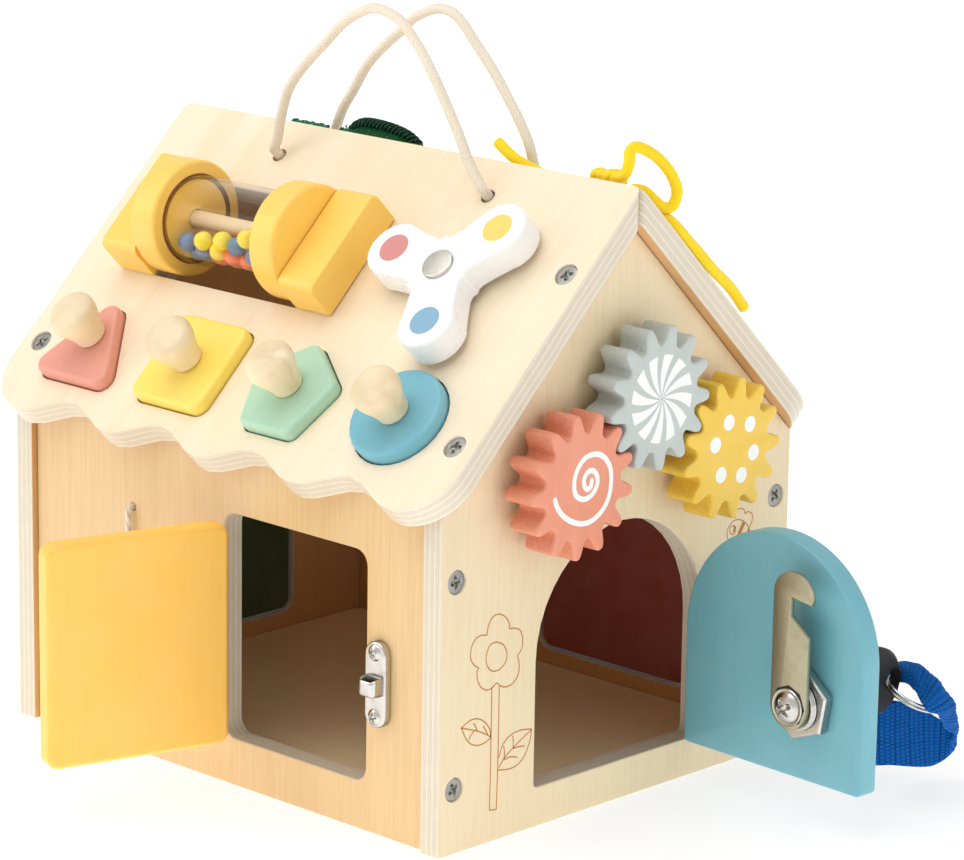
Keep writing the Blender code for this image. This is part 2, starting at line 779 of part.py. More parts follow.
def hinge_places(frame_closed, frame_open):
    """u along the door, v out of the house, n up."""
    return (lambda u, v, n: frame_closed(u, n, -v), lambda u, v, n: frame_open(u, n, -v))


doorIn = axisOut
doorOut = axisOut + boardThick


def frontFrame(turn):
    return door_frame((frontOpenLeft, -wallFace - axisOut, 0), (1, 0, 0), (0, 1, 0), -turn)


def archFrame(turn):
    return door_frame((halfLength + axisOut, archHalf, 0), (0, -1, 0), (-1, 0, 0), turn)


def sideFrame(turn):
    return door_frame((-halfLength - axisOut, -sideOpenHalf, 0), (0, 1, 0), (1, 0, 0), turn)


def backFrame(turn):
    return door_frame((backOpenRight, wallFace + axisOut, 0), (-1, 0, 0), (0, -1, 0), turn)


def build_front_door():
    frame = frontFrame(frontDoorTurn)
    wide = frontOpenRight - frontOpenLeft
    shape = rounded(doorGap, wide - doorGap, frontOpenLow + doorGap, frontOpenHigh - doorGap, cornerRadius - doorGap)
    origin = frame(0, 0, 0)
    panel = slab([shape], doorIn, doorOut, frame, doorArris)
    finish("front_door", panel, origin, (0.95, 0.56, 0.12), 0.4)
    middle = (frontOpenLow + frontOpenHigh) / 2
    build_hinge("front", hinge_places(frontFrame(0), frame), middle - hingeLength / 2, origin)
    build_keeper()
    pivot = latchPivotAcross
    post = 2 * pinRadius
    over = latchPlateThick + barThick + 2 * gap
    plate = turned([(0, 0), (latchPlateHalf, 0), (latchPlateHalf, latchPlateThick), (post, latchPlateThick),
                    (post, over), (post + pinRadius, over), (post + pinRadius, over + pinRadius / 2),
                    (0, over + pinRadius / 2)],
                   lambda u, v, n: frame(pivot + u, latchHeight + v, doorIn - gap - n), 20, False)
    finish("latch_plate", plate, origin, (0.66, 0.64, 0.60), 0.35, 1.0)
    low = doorIn - gap - latchPlateThick - gap
    bar = softened([(-barTail, -barHalf), (barReach, -barHalf), (barReach, barHalf), (-barTail, barHalf)], barHalf * 0.9)
    hole = circle(0, 0, post + gap, 16)
    work = slab([bar, hole], low - barThick, low, lambda u, v, n: frame(pivot - v, latchHeight + u, n))
    finish("latch_bar", work, frame(pivot, latchHeight, low), (0.66, 0.64, 0.60), 0.35, 1.0)


def build_keeper():
    """Plate on the wall with an open-topped hook that takes the latch bar."""
    left = keeperAcross - keeperHalfWidth
    right = keeperAcross + keeperHalfWidth
    middle = latchHeight - keeperDrop
    shape = rounded(left, right, middle - keeperHalfHeight, middle + keeperHalfHeight,
                    keeperHalfWidth * 0.98, 6)
    face = -wallFace - gap
    plate = slab([shape], face - keeperThick, face, along_y)
    inside = hookOut - hookWall
    profile = [(keeperThick / 2, -hookLow - hookWall), (hookOut, -hookLow - hookWall), (hookOut, hookHigh),
               (inside, hookHigh), (inside, -hookLow), (keeperThick / 2, -hookLow)]
    hook = slab([profile], keeperAcross - hookHalf, keeperAcross + hookHalf,
                lambda u, v, n: Vector((n, face - u, latchHeight + v)))
    origin = (keeperAcross, face, latchHeight)
    body = finish("latch_keeper", plate, origin, (0.66, 0.64, 0.60), 0.35, 1.0)
    join(body, "hook", hook)


def build_arch_door():
    frame = archFrame(archDoorTurn)
    half = archHalf - doorGap
    centre = archHalf
    shape = [(centre + u, v) for u, v in arched(half, archLow + doorGap, archHigh - doorGap, archCornerRadius)]
    hole = circle(lockAcross, lockHeight, lockHoleRadius, 24)
    origin = frame(0, 0, 0)
    panel = slab([shape, hole], doorIn, doorOut, frame, doorArris)
    finish("arch_door", panel, origin, (0.16, 0.42, 0.48), 0.4)
    build_hinge("arch", hinge_places(archFrame(0), frame), archLow + cornerRadius / 2, origin)
    build_lock(frame)
    build_key(frame)


def build_lock(frame):
    steel = (0.70, 0.70, 0.70)

    def lock(u, v, n):
        return frame(lockAcross + u, lockHeight + v, n)
    origin = lock(0, 0, 0)
    face = doorIn - gap
    tip = doorOut + lockBarrelIn
    ring = [(lockBoreRadius, face - lockFlangeThick), (lockFlangeRadius, face - lockFlangeThick),
            (lockFlangeRadius, face), (lockBarrelRadius, face), (lockBarrelRadius, tip), (lockBoreRadius, tip)]
    finish("lock_body", turned(ring, lock, 24, True), origin, steel, 0.25, 1.0)
    nut = circle(0, 0, nutAcross / 2 / math.cos(math.pi / 6), 6, math.radians(20))
    hole = circle(0, 0, lockBarrelRadius + gap, 24)
    work = slab([nut, hole], doorOut + gap, doorOut + gap + nutThick, lock, doorArris / 2)
    finish("lock_nut", work, origin, steel, 0.25, 1.0)
    low = tip + gap
    stem = [(0, face - lockFlangeThick), (plugRadius, face - lockFlangeThick), (plugRadius, low + camThick / 2),
            (0, low + camThick / 2)]
    plug = finish("lock_plug_cam", turned(stem, lock, 20, False), origin, (0.66, 0.62, 0.48), 0.35, 1.0)
    slot = slab([rounded(-keyThick / 2 - gap, keyThick / 2 + gap, -keyHalf - gap, keyHalf + gap, gap, 1)],
                face - lockFlangeThick - gap, face - lockFlangeThick + keyIn + gap, lock)
    cut(plug, [finish("tool_keyway", slot, (0, 0, 0), None)])
    cam = [(camHalf, 0.0), (camHalf, camNotchFrom), (camHalf - camNotchDepth, camNotchFrom + camNotchDepth * 0.75),
           (camHalf - camNotchDepth, camNotchTop - camNotchDepth * 0.1), (camHalf * 1.1, camNotchTop - camNotchDepth * 0.2),
           (camHalf * 1.15, camNotchTop + camHalf * 0.25), (camHalf * 0.85, camReach - camHalf * 0.45),
           (camHalf * 0.3, camReach - camHalf * 0.06), (-camHalf * 0.2, camReach), (-camHalf * 0.65, camReach - camHalf * 0.2),
           (-camHalf, camReach - camHalf * 0.8), (-camHalf, 0.0)]
    for k in range(1, 8):
        angle = math.radians(180 + 22.5 * k)
        cam.append((camHalf * math.cos(angle), camHalf * math.sin(angle)))
    join(plug, "cam", slab([cam], low, low + camThick, lock))


def build_key(frame):
    def key(u, v, n):
        return frame(lockAcross + u, lockHeight + v, n)
    face = doorIn - gap - lockFlangeThick
    origin = key(0, 0, 0)
    blade = slab([rounded(-keyThick / 2, keyThick / 2, -keyHalf, keyHalf, gap, 1)], face - keyOut, face + keyIn, key)
    finish("key_blade", blade, origin, (0.72, 0.70, 0.66), 0.3, 1.0)
    centre = face - bowOut
    flat = bowOut - keyOut - gap
    rim = []
    limit = math.acos(flat / bowRadius)
    for k in range(29):
        angle = limit + (2 * math.pi - 2 * limit) * k / 28
        rim.append((centre + bowRadius * math.cos(angle), bowRadius * math.sin(angle)))
    hole = circle(centre - bowHoleOut, 0, bowHoleRadius, 16)
    work = slab([rim, hole], -bowThick / 2, bowThick / 2, lambda u, v, n: key(n, v, u), doorArris)
    finish("key_bow", work, origin, (0.03, 0.03, 0.03), 0.5)
    build_ring_and_strap(key, centre - bowHoleOut)


def build_ring_and_strap(key, hole_at):
    """Ring through the bow's hole: it hangs in a plane spanned by two leaning directions."""
    near = Vector((math.cos(ringTilt), -math.sin(ringTilt), 0))
    away = Vector((-math.sin(ringTilt) * math.sin(ringDroop), -math.cos(ringTilt) * math.sin(ringDroop),
                   -math.cos(ringDroop)))
    normal = near.cross(away)
    sink = (bowHoleRadius - ringWire) * 0.15
    middle = Vector((0, -sink, hole_at)) + away * ringRadius

    def ring(u, v, n):
        point = middle + near * u + away * v + normal * n
        return key(point.x, point.y, point.z)
    section = [(ringRadius + ringWire * math.cos(2 * math.pi * k / 6), ringWire * math.sin(2 * math.pi * k / 6))
               for k in range(6)]
    finish("split_ring", turned(section, ring, 24, True), key(0, 0, 0), (0.75, 0.75, 0.75), 0.25, 1.0)
    band = []
    for along, up, out, lean, swing in strapRoute:
        band.append((Vector((along, up, out)), lean, swing))
    count = len(band)
    steps = 3
    work = bmesh.new()
    rings = []
    for k in range(count * steps):
        place, lean, half = blend(band, k / steps)
        before = blend(band, (k - 0.5) / steps)[0]
        after = blend(band, (k + 0.5) / steps)[0]
        along = (after - before).normalized()
        upright = Vector((-math.sin(lean) * 0.7, math.cos(lean), -math.sin(lean) * 0.7))
        upright = (upright - along * upright.dot(along)).normalized()
        side = along.cross(upright)
        ring_points = []
        for a, b in ((-1, -1), (1, -1), (1, 1), (-1, 1)):
            point = place + upright * (a * half) + side * (b * strapThick / 2)
            ring_points.append(work.verts.new(key(point.x, point.y, point.z)))
        rings.append(ring_points)
    for k in range(len(rings)):
        one, two = rings[k], rings[(k + 1) % len(rings)]
        for j in range(4):
            work.faces.new((one[j], one[(j + 1) % 4], two[(j + 1) % 4], two[j]))
    finish("key_strap", work, key(0, 0, 0), (0.02, 0.22, 0.62), 0.8)


def blend(points, at):
    """Smooth closed curve through the points (Catmull-Rom), with lean and half width carried along."""
    count = len(points)
    k = math.floor(at)
    t = at - k
    four = [points[(k + j) % count] for j in (-1, 0, 1, 2)]
    weights = ((-t + 2 * t * t - t * t * t) / 2, (2 - 5 * t * t + 3 * t * t * t) / 2,
               (t + 4 * t * t - 3 * t * t * t) / 2, (t * t * t - t * t) / 2)
    place = sum((w * p[0] for w, p in zip(weights, four)), Vector())
    return place, sum(w * p[1] for w, p in zip(weights, four)), sum(w * p[2] for w, p in zip(weights, four))


def build_side_door():
    frame = sideFrame(0)
    wide = 2 * sideOpenHalf
    shape = rounded(doorGap, wide - doorGap, sideOpenLow + doorGap, sideOpenHigh - doorGap, cornerRadius - doorGap)
    origin = frame(0, 0, 0)
    finish("side_door", slab([shape], doorIn, doorOut, frame, doorArris), origin, (0.03, 0.22, 0.12), 0.4)
    middle = (sideOpenLow + sideOpenHigh) / 2
    build_hinge("side", hinge_places(frame, frame), middle - hingeLength / 2, origin)
    pivot = button_pivot()

    def button(u, v, n):
        return Vector((-halfLength - n, pivot[0] + u, pivot[1] + v))
    wood = slab([rounded(-buttonHalf, buttonHalf, -buttonReach, buttonReach, buttonHalf * 0.98, 4),
                 circle(0, 0, buttonPinRadius + gap, 12)], gap, gap + buttonThick, button, doorArris / 2)
    finish("side_button", wood, button(0, 0, 0), (0.80, 0.62, 0.40))


def button_pivot():
    return (sideOpenHalf + buttonAway, (sideOpenLow + sideOpenHigh) / 2)


def build_back_door():
    frame = backFrame(0)
    wide = backOpenRight - backOpenLeft
    shape = rounded(doorGap, wide - doorGap, backOpenLow + doorGap, backOpenHigh - doorGap, cornerRadius - doorGap)
    origin = frame(0, 0, 0)
    finish("back_door", slab([shape], doorIn, doorOut, frame, doorArris), origin, (0.22, 0.03, 0.03), 0.4)
    middle = (backOpenLow + backOpenHigh) / 2
    build_hinge("back", hinge_places(frame, frame), middle - hingeLength / 2, origin)
    steel = (0.68, 0.67, 0.64)
    face = doorIn - gap
    rise = face - boltPlateThick - gap - rodRadius
    plateTo = wide - 2 * doorGap

    def across(u, v, n):
        return frame(n, middle + u, rise - v)
    loop = guide_outline(rise - face)
    bore = circle(0, 0, rodRadius + gap, 16)
    base = slab([rounded(boltPlateFrom, plateTo, middle - boltPlateHalf, middle + boltPlateHalf, guideInset, 3)],
                face - boltPlateThick, face, frame)
    plate = finish("bolt_plate", base, origin, steel, 0.35, 1.0)
    for index, start in enumerate((boltPlateFrom + guideInset, plateTo - guideInset - guideLength)):
        join(plate, "guide %d" % index, slab([loop, bore], start, start + guideLength, across))
    rest = boltPlateFrom + gap
    knob = rest + rodKnobAt
    rod = turned([(0, rest), (rodRadius, rest), (rodRadius, rest + rodLength), (0, rest + rodLength)], across, 16, False)
    rod = finish("bolt_rod", rod, frame(rest, middle, rise), steel, 0.3, 1.0)
    grip = turned([(0, 0), (rodKnobRadius, 0), (rodKnobRadius, rodKnobOut), (0, rodKnobOut)],
                  lambda u, v, n: frame(knob + u, middle + v, rise - n), 12, False)
    join(rod, "grip", grip)
    start = wide + boltKeeperAway - guideLength / 2
    base = slab([rounded(start - guideInset, start + guideLength + guideInset, middle - boltPlateHalf,
                         middle + boltPlateHalf, guideInset, 3)], face - boltPlateThick, face, frame)
    keeper = finish("bolt_keeper", base, frame(start, middle, face), steel, 0.35, 1.0)
    join(keeper, "guide", slab([loop, bore], start, start + guideLength, across))


def guide_outline(foot):
    """Arch round the rod, standing on the plate; foot is the plate's underside, seen from the rod."""
    outer = rodRadius + gap + guideWall
    low = foot + boltPlateThick / 2
    shape = [(-outer * 1.25, low), (outer * 1.25, low)]
    for k in range(13):
        angle = math.pi * k / 12
        shape.append((outer * math.cos(angle), outer * math.sin(angle)))
    return shape


def join(body, name, work):
    tool = finish("tool_%s_%s" % (body.name, name.replace(" ", "_")), work, (0, 0, 0), None)
    tool.hide_render = True
    tool.display_type = "WIRE"
    step = body.modifiers.new(name, "BOOLEAN")
    step.operation = "UNION"
    step.solver = "EXACT"
    step.object = tool


# cords and the fabric leaf

def smooth_route(points, spacing):
    """Points along a smooth curve through the route's points, about evenly spaced."""
    points = [Vector(p) for p in points]
    fine = []
    for k in range(len(points) - 1):
        ends = [points[max(k - 1, 0)], points[k], points[k + 1], points[min(k + 2, len(points) - 1)]]
        for j in range(16):
            t = j / 16
            weights = ((-t + 2 * t * t - t * t * t) / 2, (2 - 5 * t * t + 3 * t * t * t) / 2,
                       (t + 4 * t * t - 3 * t * t * t) / 2, (t * t * t - t * t) / 2)
            fine.append(sum((w * p for w, p in zip(weights, ends)), Vector()))
    fine.append(points[-1])
    lengths = [0.0]
    for one, two in zip(fine, fine[1:]):
        lengths.append(lengths[-1] + (two - one).length)
    count = max(2, round(lengths[-1] / spacing))
    route = []
    at = 0
    for k in range(count + 1):
        goal = lengths[-1] * k / count
        while at < len(lengths) - 2 and lengths[at + 1] < goal:
            at += 1
        share = (goal - lengths[at]) / max(lengths[at + 1] - lengths[at], gap / 100)
        route.append(fine[at].lerp(fine[at + 1], min(share, 1.0)))
    print("cord length", round(lengths[-1], 4))
    return route


def cord(name, points, radius, colour, spacing=2.6):
    route = smooth_route(points, spacing * 2 * radius)
    line = bpy.data.curves.new(name, "CURVE")
    line.dimensions = "3D"
    line.bevel_depth = radius
    line.bevel_resolution = 2
    line.use_fill_caps = True
    spline = line.splines.new("POLY")
    spline.points.add(len(route) - 1)
    for point, place in zip(spline.points, route):
        point.co = (*place, 1.0)
    thing = bpy.data.objects.new(name, line)
    bpy.context.scene.collection.objects.link(thing)
    paint(thing, name, colour, 0.9)


def build_cords():
    cream = (0.80, 0.72, 0.60)
    for name, slope, route in (("rope_front", front_slope, frontRope), ("rope_rear", rear_slope, rearRope)):
        ends = []
        for side in (-1, 1):
            across = side * ropeHoleSpread
            ends.append([slope(across, ropeHoleDown, n) for n in (-roofThick - 2 * ropeRadius, -roofThick / 2,
                                                                  ropeRadius, 2 * ropeRadius)])
        cord(name, ends[0] + list(route) + ends[1][::-1], ropeRadius, cream, 1.7)
    cord("lace", lace, laceRadius, (0.95, 0.72, 0.05), 2.3)
    cord("pull_cord", pullCord, pullRadius, (0.90, 0.88, 0.85), 1.5)


def build_patch():
    stations = 17
    work = bmesh.new()
    rings = []
    for k in range(stations):
        share = k / (stations - 1)
        across = patchLeft + (patchRight - patchLeft) * share
        lobe = max(0.0, (share - patchLobeShare) / (1 - patchLobeShare))
        high = patchThin + patchThick * math.sin(math.pi * min(1.0, lobe) ** 0.7) ** 0.7
        half = patchHalf * (0.55 + 0.45 * math.sin(math.pi * (0.1 + 0.8 * share)))
        middle = patchDown
        section = ((-half, gap), (-half * 1.05, gap + high * 0.7), (-half * 0.7, gap + high),
                   (half * 0.2, gap + high * 0.8), (half, gap + high * 0.3), (half, gap))
        rings.append([work.verts.new(rear_slope(across, middle + v, n)) for v, n in section])
    for one, two in zip(rings, rings[1:]):
        for j in range(6):
            work.faces.new((one[j], one[(j + 1) % 6], two[(j + 1) % 6], two[j]))
    work.faces.new(rings[0])
    work.faces.new(rings[-1])
    finish("fabric_leaf", work, rear_slope(patchLeft, patchDown, 0), (0.02, 0.12, 0.06), 0.9)


build_gables()
build_walls()
build_roof()
build_pegs()
build_gears()
build_spinner()
build_drum()
build_front_door()
build_arch_door()
build_side_door()
build_back_door()
build_cords()
build_patch()
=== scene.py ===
import math

import bpy
import numpy as np
from mathutils import Matrix, Vector


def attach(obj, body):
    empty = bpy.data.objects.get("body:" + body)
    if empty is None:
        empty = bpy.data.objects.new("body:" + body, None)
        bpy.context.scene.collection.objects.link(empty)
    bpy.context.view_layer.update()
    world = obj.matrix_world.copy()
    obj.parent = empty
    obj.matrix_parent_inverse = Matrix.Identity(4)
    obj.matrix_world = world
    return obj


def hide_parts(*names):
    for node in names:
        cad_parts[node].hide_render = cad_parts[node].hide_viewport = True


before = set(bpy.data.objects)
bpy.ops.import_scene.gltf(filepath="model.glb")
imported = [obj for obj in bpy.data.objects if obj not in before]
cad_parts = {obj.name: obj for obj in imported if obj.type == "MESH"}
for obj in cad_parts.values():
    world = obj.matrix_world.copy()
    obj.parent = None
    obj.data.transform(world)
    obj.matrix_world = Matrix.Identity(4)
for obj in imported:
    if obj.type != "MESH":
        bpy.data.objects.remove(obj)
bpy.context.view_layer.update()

print("activity house: frame loaded")

house = {  # metres, as in the model's source
    "halfLength": 0.1000,
    "halfDepth": 0.0817,
    "wallFace": 0.0796,
    "board": 0.0080,
    "eave": 0.1090,
    "roofThick": 0.0086,
    "roofAngle": math.radians(44.35),
    "air": 0.0003,  # gap between pieces that touch
    "axisOut": 0.0025,  # hinge axis in front of the wall
}
slopeCos, slopeSin = math.cos(house["roofAngle"]), math.sin(house["roofAngle"])
ridgeTop = house["eave"] + house["halfDepth"] * slopeSin / slopeCos + house["roofThick"] / slopeCos
frontNormal = (0.0, -slopeSin, slopeCos)
rearNormal = (0.0, slopeSin, slopeCos)
doorIn = house["axisOut"]
doorOut = doorIn + house["board"]

# placing: each takes local numbers (..., 3) and gives points of the house


def onRoof(side):  # across, down the slope, out of the front (-1) or rear (1) board
    return lambda p: np.stack([p[..., 0], side * (p[..., 1] * slopeCos + p[..., 2] * slopeSin),
                               ridgeTop - p[..., 1] * slopeSin + p[..., 2] * slopeCos], -1)


def onGable(side):  # depth, height, out of the right (1) or left (-1) gable
    return lambda p: np.stack([side * (house["halfLength"] + p[..., 2]), p[..., 0], p[..., 1]], -1)


def onWall(side):  # across, height, out of the front (-1) or back (1) wall
    return lambda p: np.stack([p[..., 0], side * (house["wallFace"] + p[..., 2]), p[..., 1]], -1)


def onDoor(hinge, along, inward, degrees):  # from the hinge along the door, height, into the house
    turn = math.radians(degrees)
    spin = np.array([[math.cos(turn), -math.sin(turn), 0], [math.sin(turn), math.cos(turn), 0], [0, 0, 1]])
    axes = np.array([spin @ np.array(along, float), [0.0, 0.0, 1.0], spin @ np.array(inward, float)])
    return lambda p: np.array(hinge) + p[..., :1] * axes[0] + p[..., 1:2] * axes[1] + p[..., 2:] * axes[2]


def moved(place, *shift):  # shifts the local centre of a placing function
    return lambda p: place(p + np.array(shift + (0.0,) * (3 - len(shift))))


hinges = {  # hinge line, way along the closed door, way into the house, degrees open at rest
    "front": ((0.0005, -house["wallFace"] - doorIn, 0), (1, 0, 0), (0, 1, 0), -106.0),
    "arch": ((house["halfLength"] + doorIn, 0.0390, 0), (0, -1, 0), (-1, 0, 0), 87.4),
    "side": ((-house["halfLength"] - doorIn, -0.0385, 0), (0, 1, 0), (1, 0, 0), 0.0),
    "back": ((0.0660, house["wallFace"] + doorIn, 0), (-1, 0, 0), (0, -1, 0), 0.0),
}
frontRoof, rearRoof, archGable = onRoof(-1), onRoof(1), onGable(1)
doors = {name: onDoor(*values) for name, values in hinges.items()}
closed = {name: onDoor(*values[:3], 0.0) for name, values in hinges.items()}

# solids: points, quads and flat caps, made as whole arrays


def gridQuads(rows, cols, loop=False):  # quads between rows of points that close round each row
    i, j = np.arange(rows if loop else rows - 1)[:, None], np.arange(cols)[None, :]
    nextRow, nextCol = (i + 1) % rows, (j + 1) % cols
    corners = [i * cols + j, i * cols + nextCol, nextRow * cols + nextCol, nextRow * cols + j]
    return np.stack(np.broadcast_arrays(*corners), -1).reshape(-1, 4)


def grid(points, loop=False):  # a solid from rows of points, capped at both ends unless the rows loop
    rows, cols = points.shape[:2]
    last = (rows - 1) * cols
    caps = [] if loop else [list(range(cols)), list(range(last, last + cols))]
    return points.reshape(-1, 3), gridQuads(rows, cols, loop), caps


def placed(solid, where):
    # carries a solid to the house; its faces turn round if the tetrahedra under them sum to less than nothing
    points, quads, caps = solid
    points = where(np.asarray(points, float).reshape(-1, 3))
    p = points - points.mean(0)
    fans = [p[quads]] + [p[np.array(cap)][None] for cap in caps]
    volume = sum(float((np.cross(f[:, 1:-1], f[:, 2:]) * f[:, :1]).sum()) for f in fans)
    return (points, quads, caps) if volume >= 0 else (points, quads[:, ::-1], [cap[::-1] for cap in caps])


def joined(solids):  # several solids as one
    starts = np.cumsum([0] + [len(points) for points, _, _ in solids])
    return (np.vstack([points for points, _, _ in solids]),
            np.vstack([quads + start for (_, quads, _), start in zip(solids, starts)]),
            [[int(v + start) for v in cap] for (_, _, caps), start in zip(solids, starts) for cap in caps])


def makePiece(name, solids, body, paint, node=None, where=None, relief=None, crisp=None):
    # one closed mesh of the solids, put in place; relief is kept as an attribute, crisp parts the shading
    points, quads, caps = joined([placed(solid, where or (lambda p: p)) for solid in solids])
    faces = quads.tolist()
    for k in np.flatnonzero(np.any(quads == np.roll(quads, 1, 1), 1)):  # quads that a pole narrows
        faces[k] = [v for n, v in enumerate(faces[k]) if v != faces[k][n - 1]]
    faces = [face for face in faces if len(face) > 2] + caps
    used = np.zeros(len(points), bool)
    used[np.concatenate([np.array(face) for face in faces])] = True
    order = np.cumsum(used) - 1
    mesh = bpy.data.meshes.new(name)
    mesh.from_pydata(points[used].tolist(), [], [[int(order[v]) for v in face] for face in faces])
    mesh.polygons.foreach_set("use_smooth", np.arange(len(faces)) < len(faces) - len(caps))
    if crisp is not None:
        mesh.set_sharp_from_angle(angle=math.radians(crisp))
    if relief is not None:
        values = mesh.attributes.new("relief", "FLOAT", "POINT").data
        values.foreach_set("value", np.asarray(relief, np.float32).ravel()[used])
    mesh.materials.append(paint)
    piece = bpy.data.objects.new(name, mesh)
    bpy.context.scene.collection.objects.link(piece)
    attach(piece, body)
    if node:
        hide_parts(node)
    return piece


def circle(count):  # angles all round
    return np.linspace(0, 2 * math.pi, count, endpoint=False)


def polar(radius, angle, *height):  # points from radius and angle, with a height where one is given
    return np.stack(np.broadcast_arrays(radius * np.cos(angle), radius * np.sin(angle), *height), -1)


def lathe(profile, segments):  # (radius, height) pairs turned about the third axis; radius 0 makes a pole
    profile = np.asarray(profile, float)
    points = polar(profile[:, :1], circle(segments), profile[:, 1:])
    index = np.arange(len(profile) * segments).reshape(-1, segments)
    poles = profile[:, 0] < 1e-9
    index[poles] = index[poles][:, :1]
    return points.reshape(-1, 3), index.ravel()[gridQuads(len(profile), segments)], []


def latheLoop(profile, segments):  # the same, for a closed profile such as a ring's section
    profile = np.asarray(profile, float)
    return grid(polar(profile[:, :1], circle(segments), profile[:, 1:]), True)


def catmullRom(before, here, after, far, t):  # cubic through here and after, its slopes set by the neighbours
    return 0.5 * (2 * here + (after - before) * t + (2 * before - 5 * here + 4 * after - far) * t ** 2
                  + (3 * here - before - 3 * after + far) * t ** 3)


def smoothLoop(points, times):  # closed curve through the points, times steps between each two
    points = np.asarray(points, float)
    near = [np.roll(points, k, 0)[:, None, :] for k in (1, 0, -1, -2)]
    return catmullRom(*near, (np.arange(times) / times)[None, :, None]).reshape(-1, points.shape[1])


def walked(curve):  # distance from the first point of a curve to each
    return np.concatenate([[0.0], np.cumsum(np.linalg.norm(np.diff(curve, axis=0), axis=1))])


def smoothPath(points, step, fine=24):  # open curve through the points, evenly step apart along its length
    points = np.asarray(points, float)
    ends = np.vstack([points[:1], points, points[-1:]])
    t = (np.arange(fine) / fine)[None, :, None]
    curve = catmullRom(ends[:-3, None], ends[1:-2, None], ends[2:-1, None], ends[3:, None], t)
    curve = np.vstack([curve.reshape(-1, points.shape[1]), points[-1:]])
    run = walked(curve)
    goal = np.linspace(0, run[-1], max(2, int(round(run[-1] / step)) + 1))
    return np.stack([np.interp(goal, run, curve[:, k]) for k in range(points.shape[1])], -1), goal


def unit(vectors):
    return vectors / np.linalg.norm(vectors, axis=-1, keepdims=True)


def carried(path, loop=False):  # two normals that turn as little as they can along a path
    tangent = unit(np.roll(path, -1, 0) - np.roll(path, 1, 0) if loop else np.gradient(path, axis=0))
    normal = np.zeros_like(path)
    start = np.cross(tangent[0], [0.0, 1.0, 0.0])
    if np.linalg.norm(start) < 0.3:
        start = np.cross(tangent[0], [1.0, 0.0, 0.0])
    for k in range(len(path)):
        start = unit(start - tangent[k] * start.dot(tangent[k]))
        normal[k] = start
    return normal, np.cross(tangent, normal)


def tube(path, radius, angle, loop=False):  # rings round a path, each radius laid off between its two normals
    one, two = carried(path, loop)
    angle = angle.reshape(1, -1, 1)
    around = np.cos(angle) * one[:, None] + np.sin(angle) * two[:, None]
    return grid(path[:, None] + np.broadcast_to(radius, around.shape[:2])[..., None] * around, loop)


def raised(outline, insets, levels):  # rings of an outline, each drawn in by its inset and set at its level
    outline = np.asarray(outline, float)
    insets, levels = np.asarray(insets, float)[:, None, None], np.asarray(levels, float)[:, None, None]
    ahead = np.roll(outline, -1, 0) - np.roll(outline, 1, 0)
    outward = unit(np.stack([ahead[:, 1], -ahead[:, 0]], -1))
    area = np.sum(outline[:, 0] * np.roll(outline[:, 1], -1) - np.roll(outline[:, 0], -1) * outline[:, 1])
    rings = outline[None] - insets * outward[None] * (1 if area > 0 else -1)
    return grid(np.concatenate([rings, np.broadcast_to(levels, rings.shape[:2] + (1,))], -1))


def outlineSlab(outline, low, high, edge, steps=4):
    # an outline raised from low to high, both rims rounded by a quarter circle of radius edge
    angle = np.linspace(0, math.pi / 2, steps + 1)
    inset, level = edge * (1 - np.cos(angle)), edge * np.sin(angle)
    return raised(outline, np.concatenate([inset[::-1], inset]),
                  np.concatenate([low + edge - level[::-1], high - edge + level]))


# materials: node helpers, each with the tree that it adds to


def tint(red, green, blue):  # a screen colour, 0 to 255, as the shader's linear colour
    return tuple(c / 12.92 if c <= 0.04045 else ((c + 0.055) / 1.055) ** 2.4
                 for c in (red / 255, green / 255, blue / 255)) + (1.0,)


def mean(one, two, share):
    return tuple(a * (1 - share) + b * share for a, b in zip(one, two))


def crossed(a, b):
    return tuple(np.cross(a, b))


def newPaint(name, **sockets):
    paint = bpy.data.materials.new(name)
    paint.use_nodes = True
    shader = paint.node_tree.nodes["Principled BSDF"]
    for key, value in sockets.items():
        shader.inputs[key.replace("_", " ")].default_value = value
    return paint, paint.node_tree, shader


def feed(tree, socket, value):
    if isinstance(value, bpy.types.NodeSocket):
        tree.links.new(value, socket)
    elif value is not None:
        socket.default_value = value


def put(tree, kind, *inputs, **settings):  # a node with its options set and its sockets fed in order
    node = tree.nodes.new("ShaderNode" + kind)
    for key, value in settings.items():
        setattr(node, key, value)
    for socket, value in zip(node.inputs, inputs):
        feed(tree, socket, value)
    return node


def sums(tree, operation, *inputs):
    return put(tree, "Math", *inputs, operation=operation).outputs[0]


def place(tree):  # where a point lies on the house at rest
    return put(tree, "TexCoord").outputs["Object"]


def measured(tree, where, axis):  # distance along one direction
    return put(tree, "VectorMath", where, tuple(axis), operation="DOT_PRODUCT").outputs["Value"]


def faceOn(tree, sheet):  # 1 on faces that look along the sheet's normal, 0 on its edges
    return sums(tree, "ABSOLUTE", measured(tree, put(tree, "TexCoord").outputs["Normal"], sheet))


def grazing(tree):
    return put(tree, "LayerWeight", 0.5).outputs["Facing"]


def reliefOf(tree):
    return put(tree, "Attribute", attribute_name="relief").outputs["Fac"]


def stretched(tree, where, axes, scales):  # noise space: three directions, each with its own scale
    parts = [sums(tree, "MULTIPLY", measured(tree, where, axis), scale) for axis, scale in zip(axes, scales)]
    return put(tree, "CombineXYZ", *parts).outputs[0]


def noise(tree, where, scale, detail=2.0, rough=0.5, bend=0.0):
    node = put(tree, "TexNoise", where)
    for key, value in (("Scale", scale), ("Detail", detail), ("Roughness", rough), ("Distortion", bend)):
        node.inputs[key].default_value = value
    return node.outputs[0]


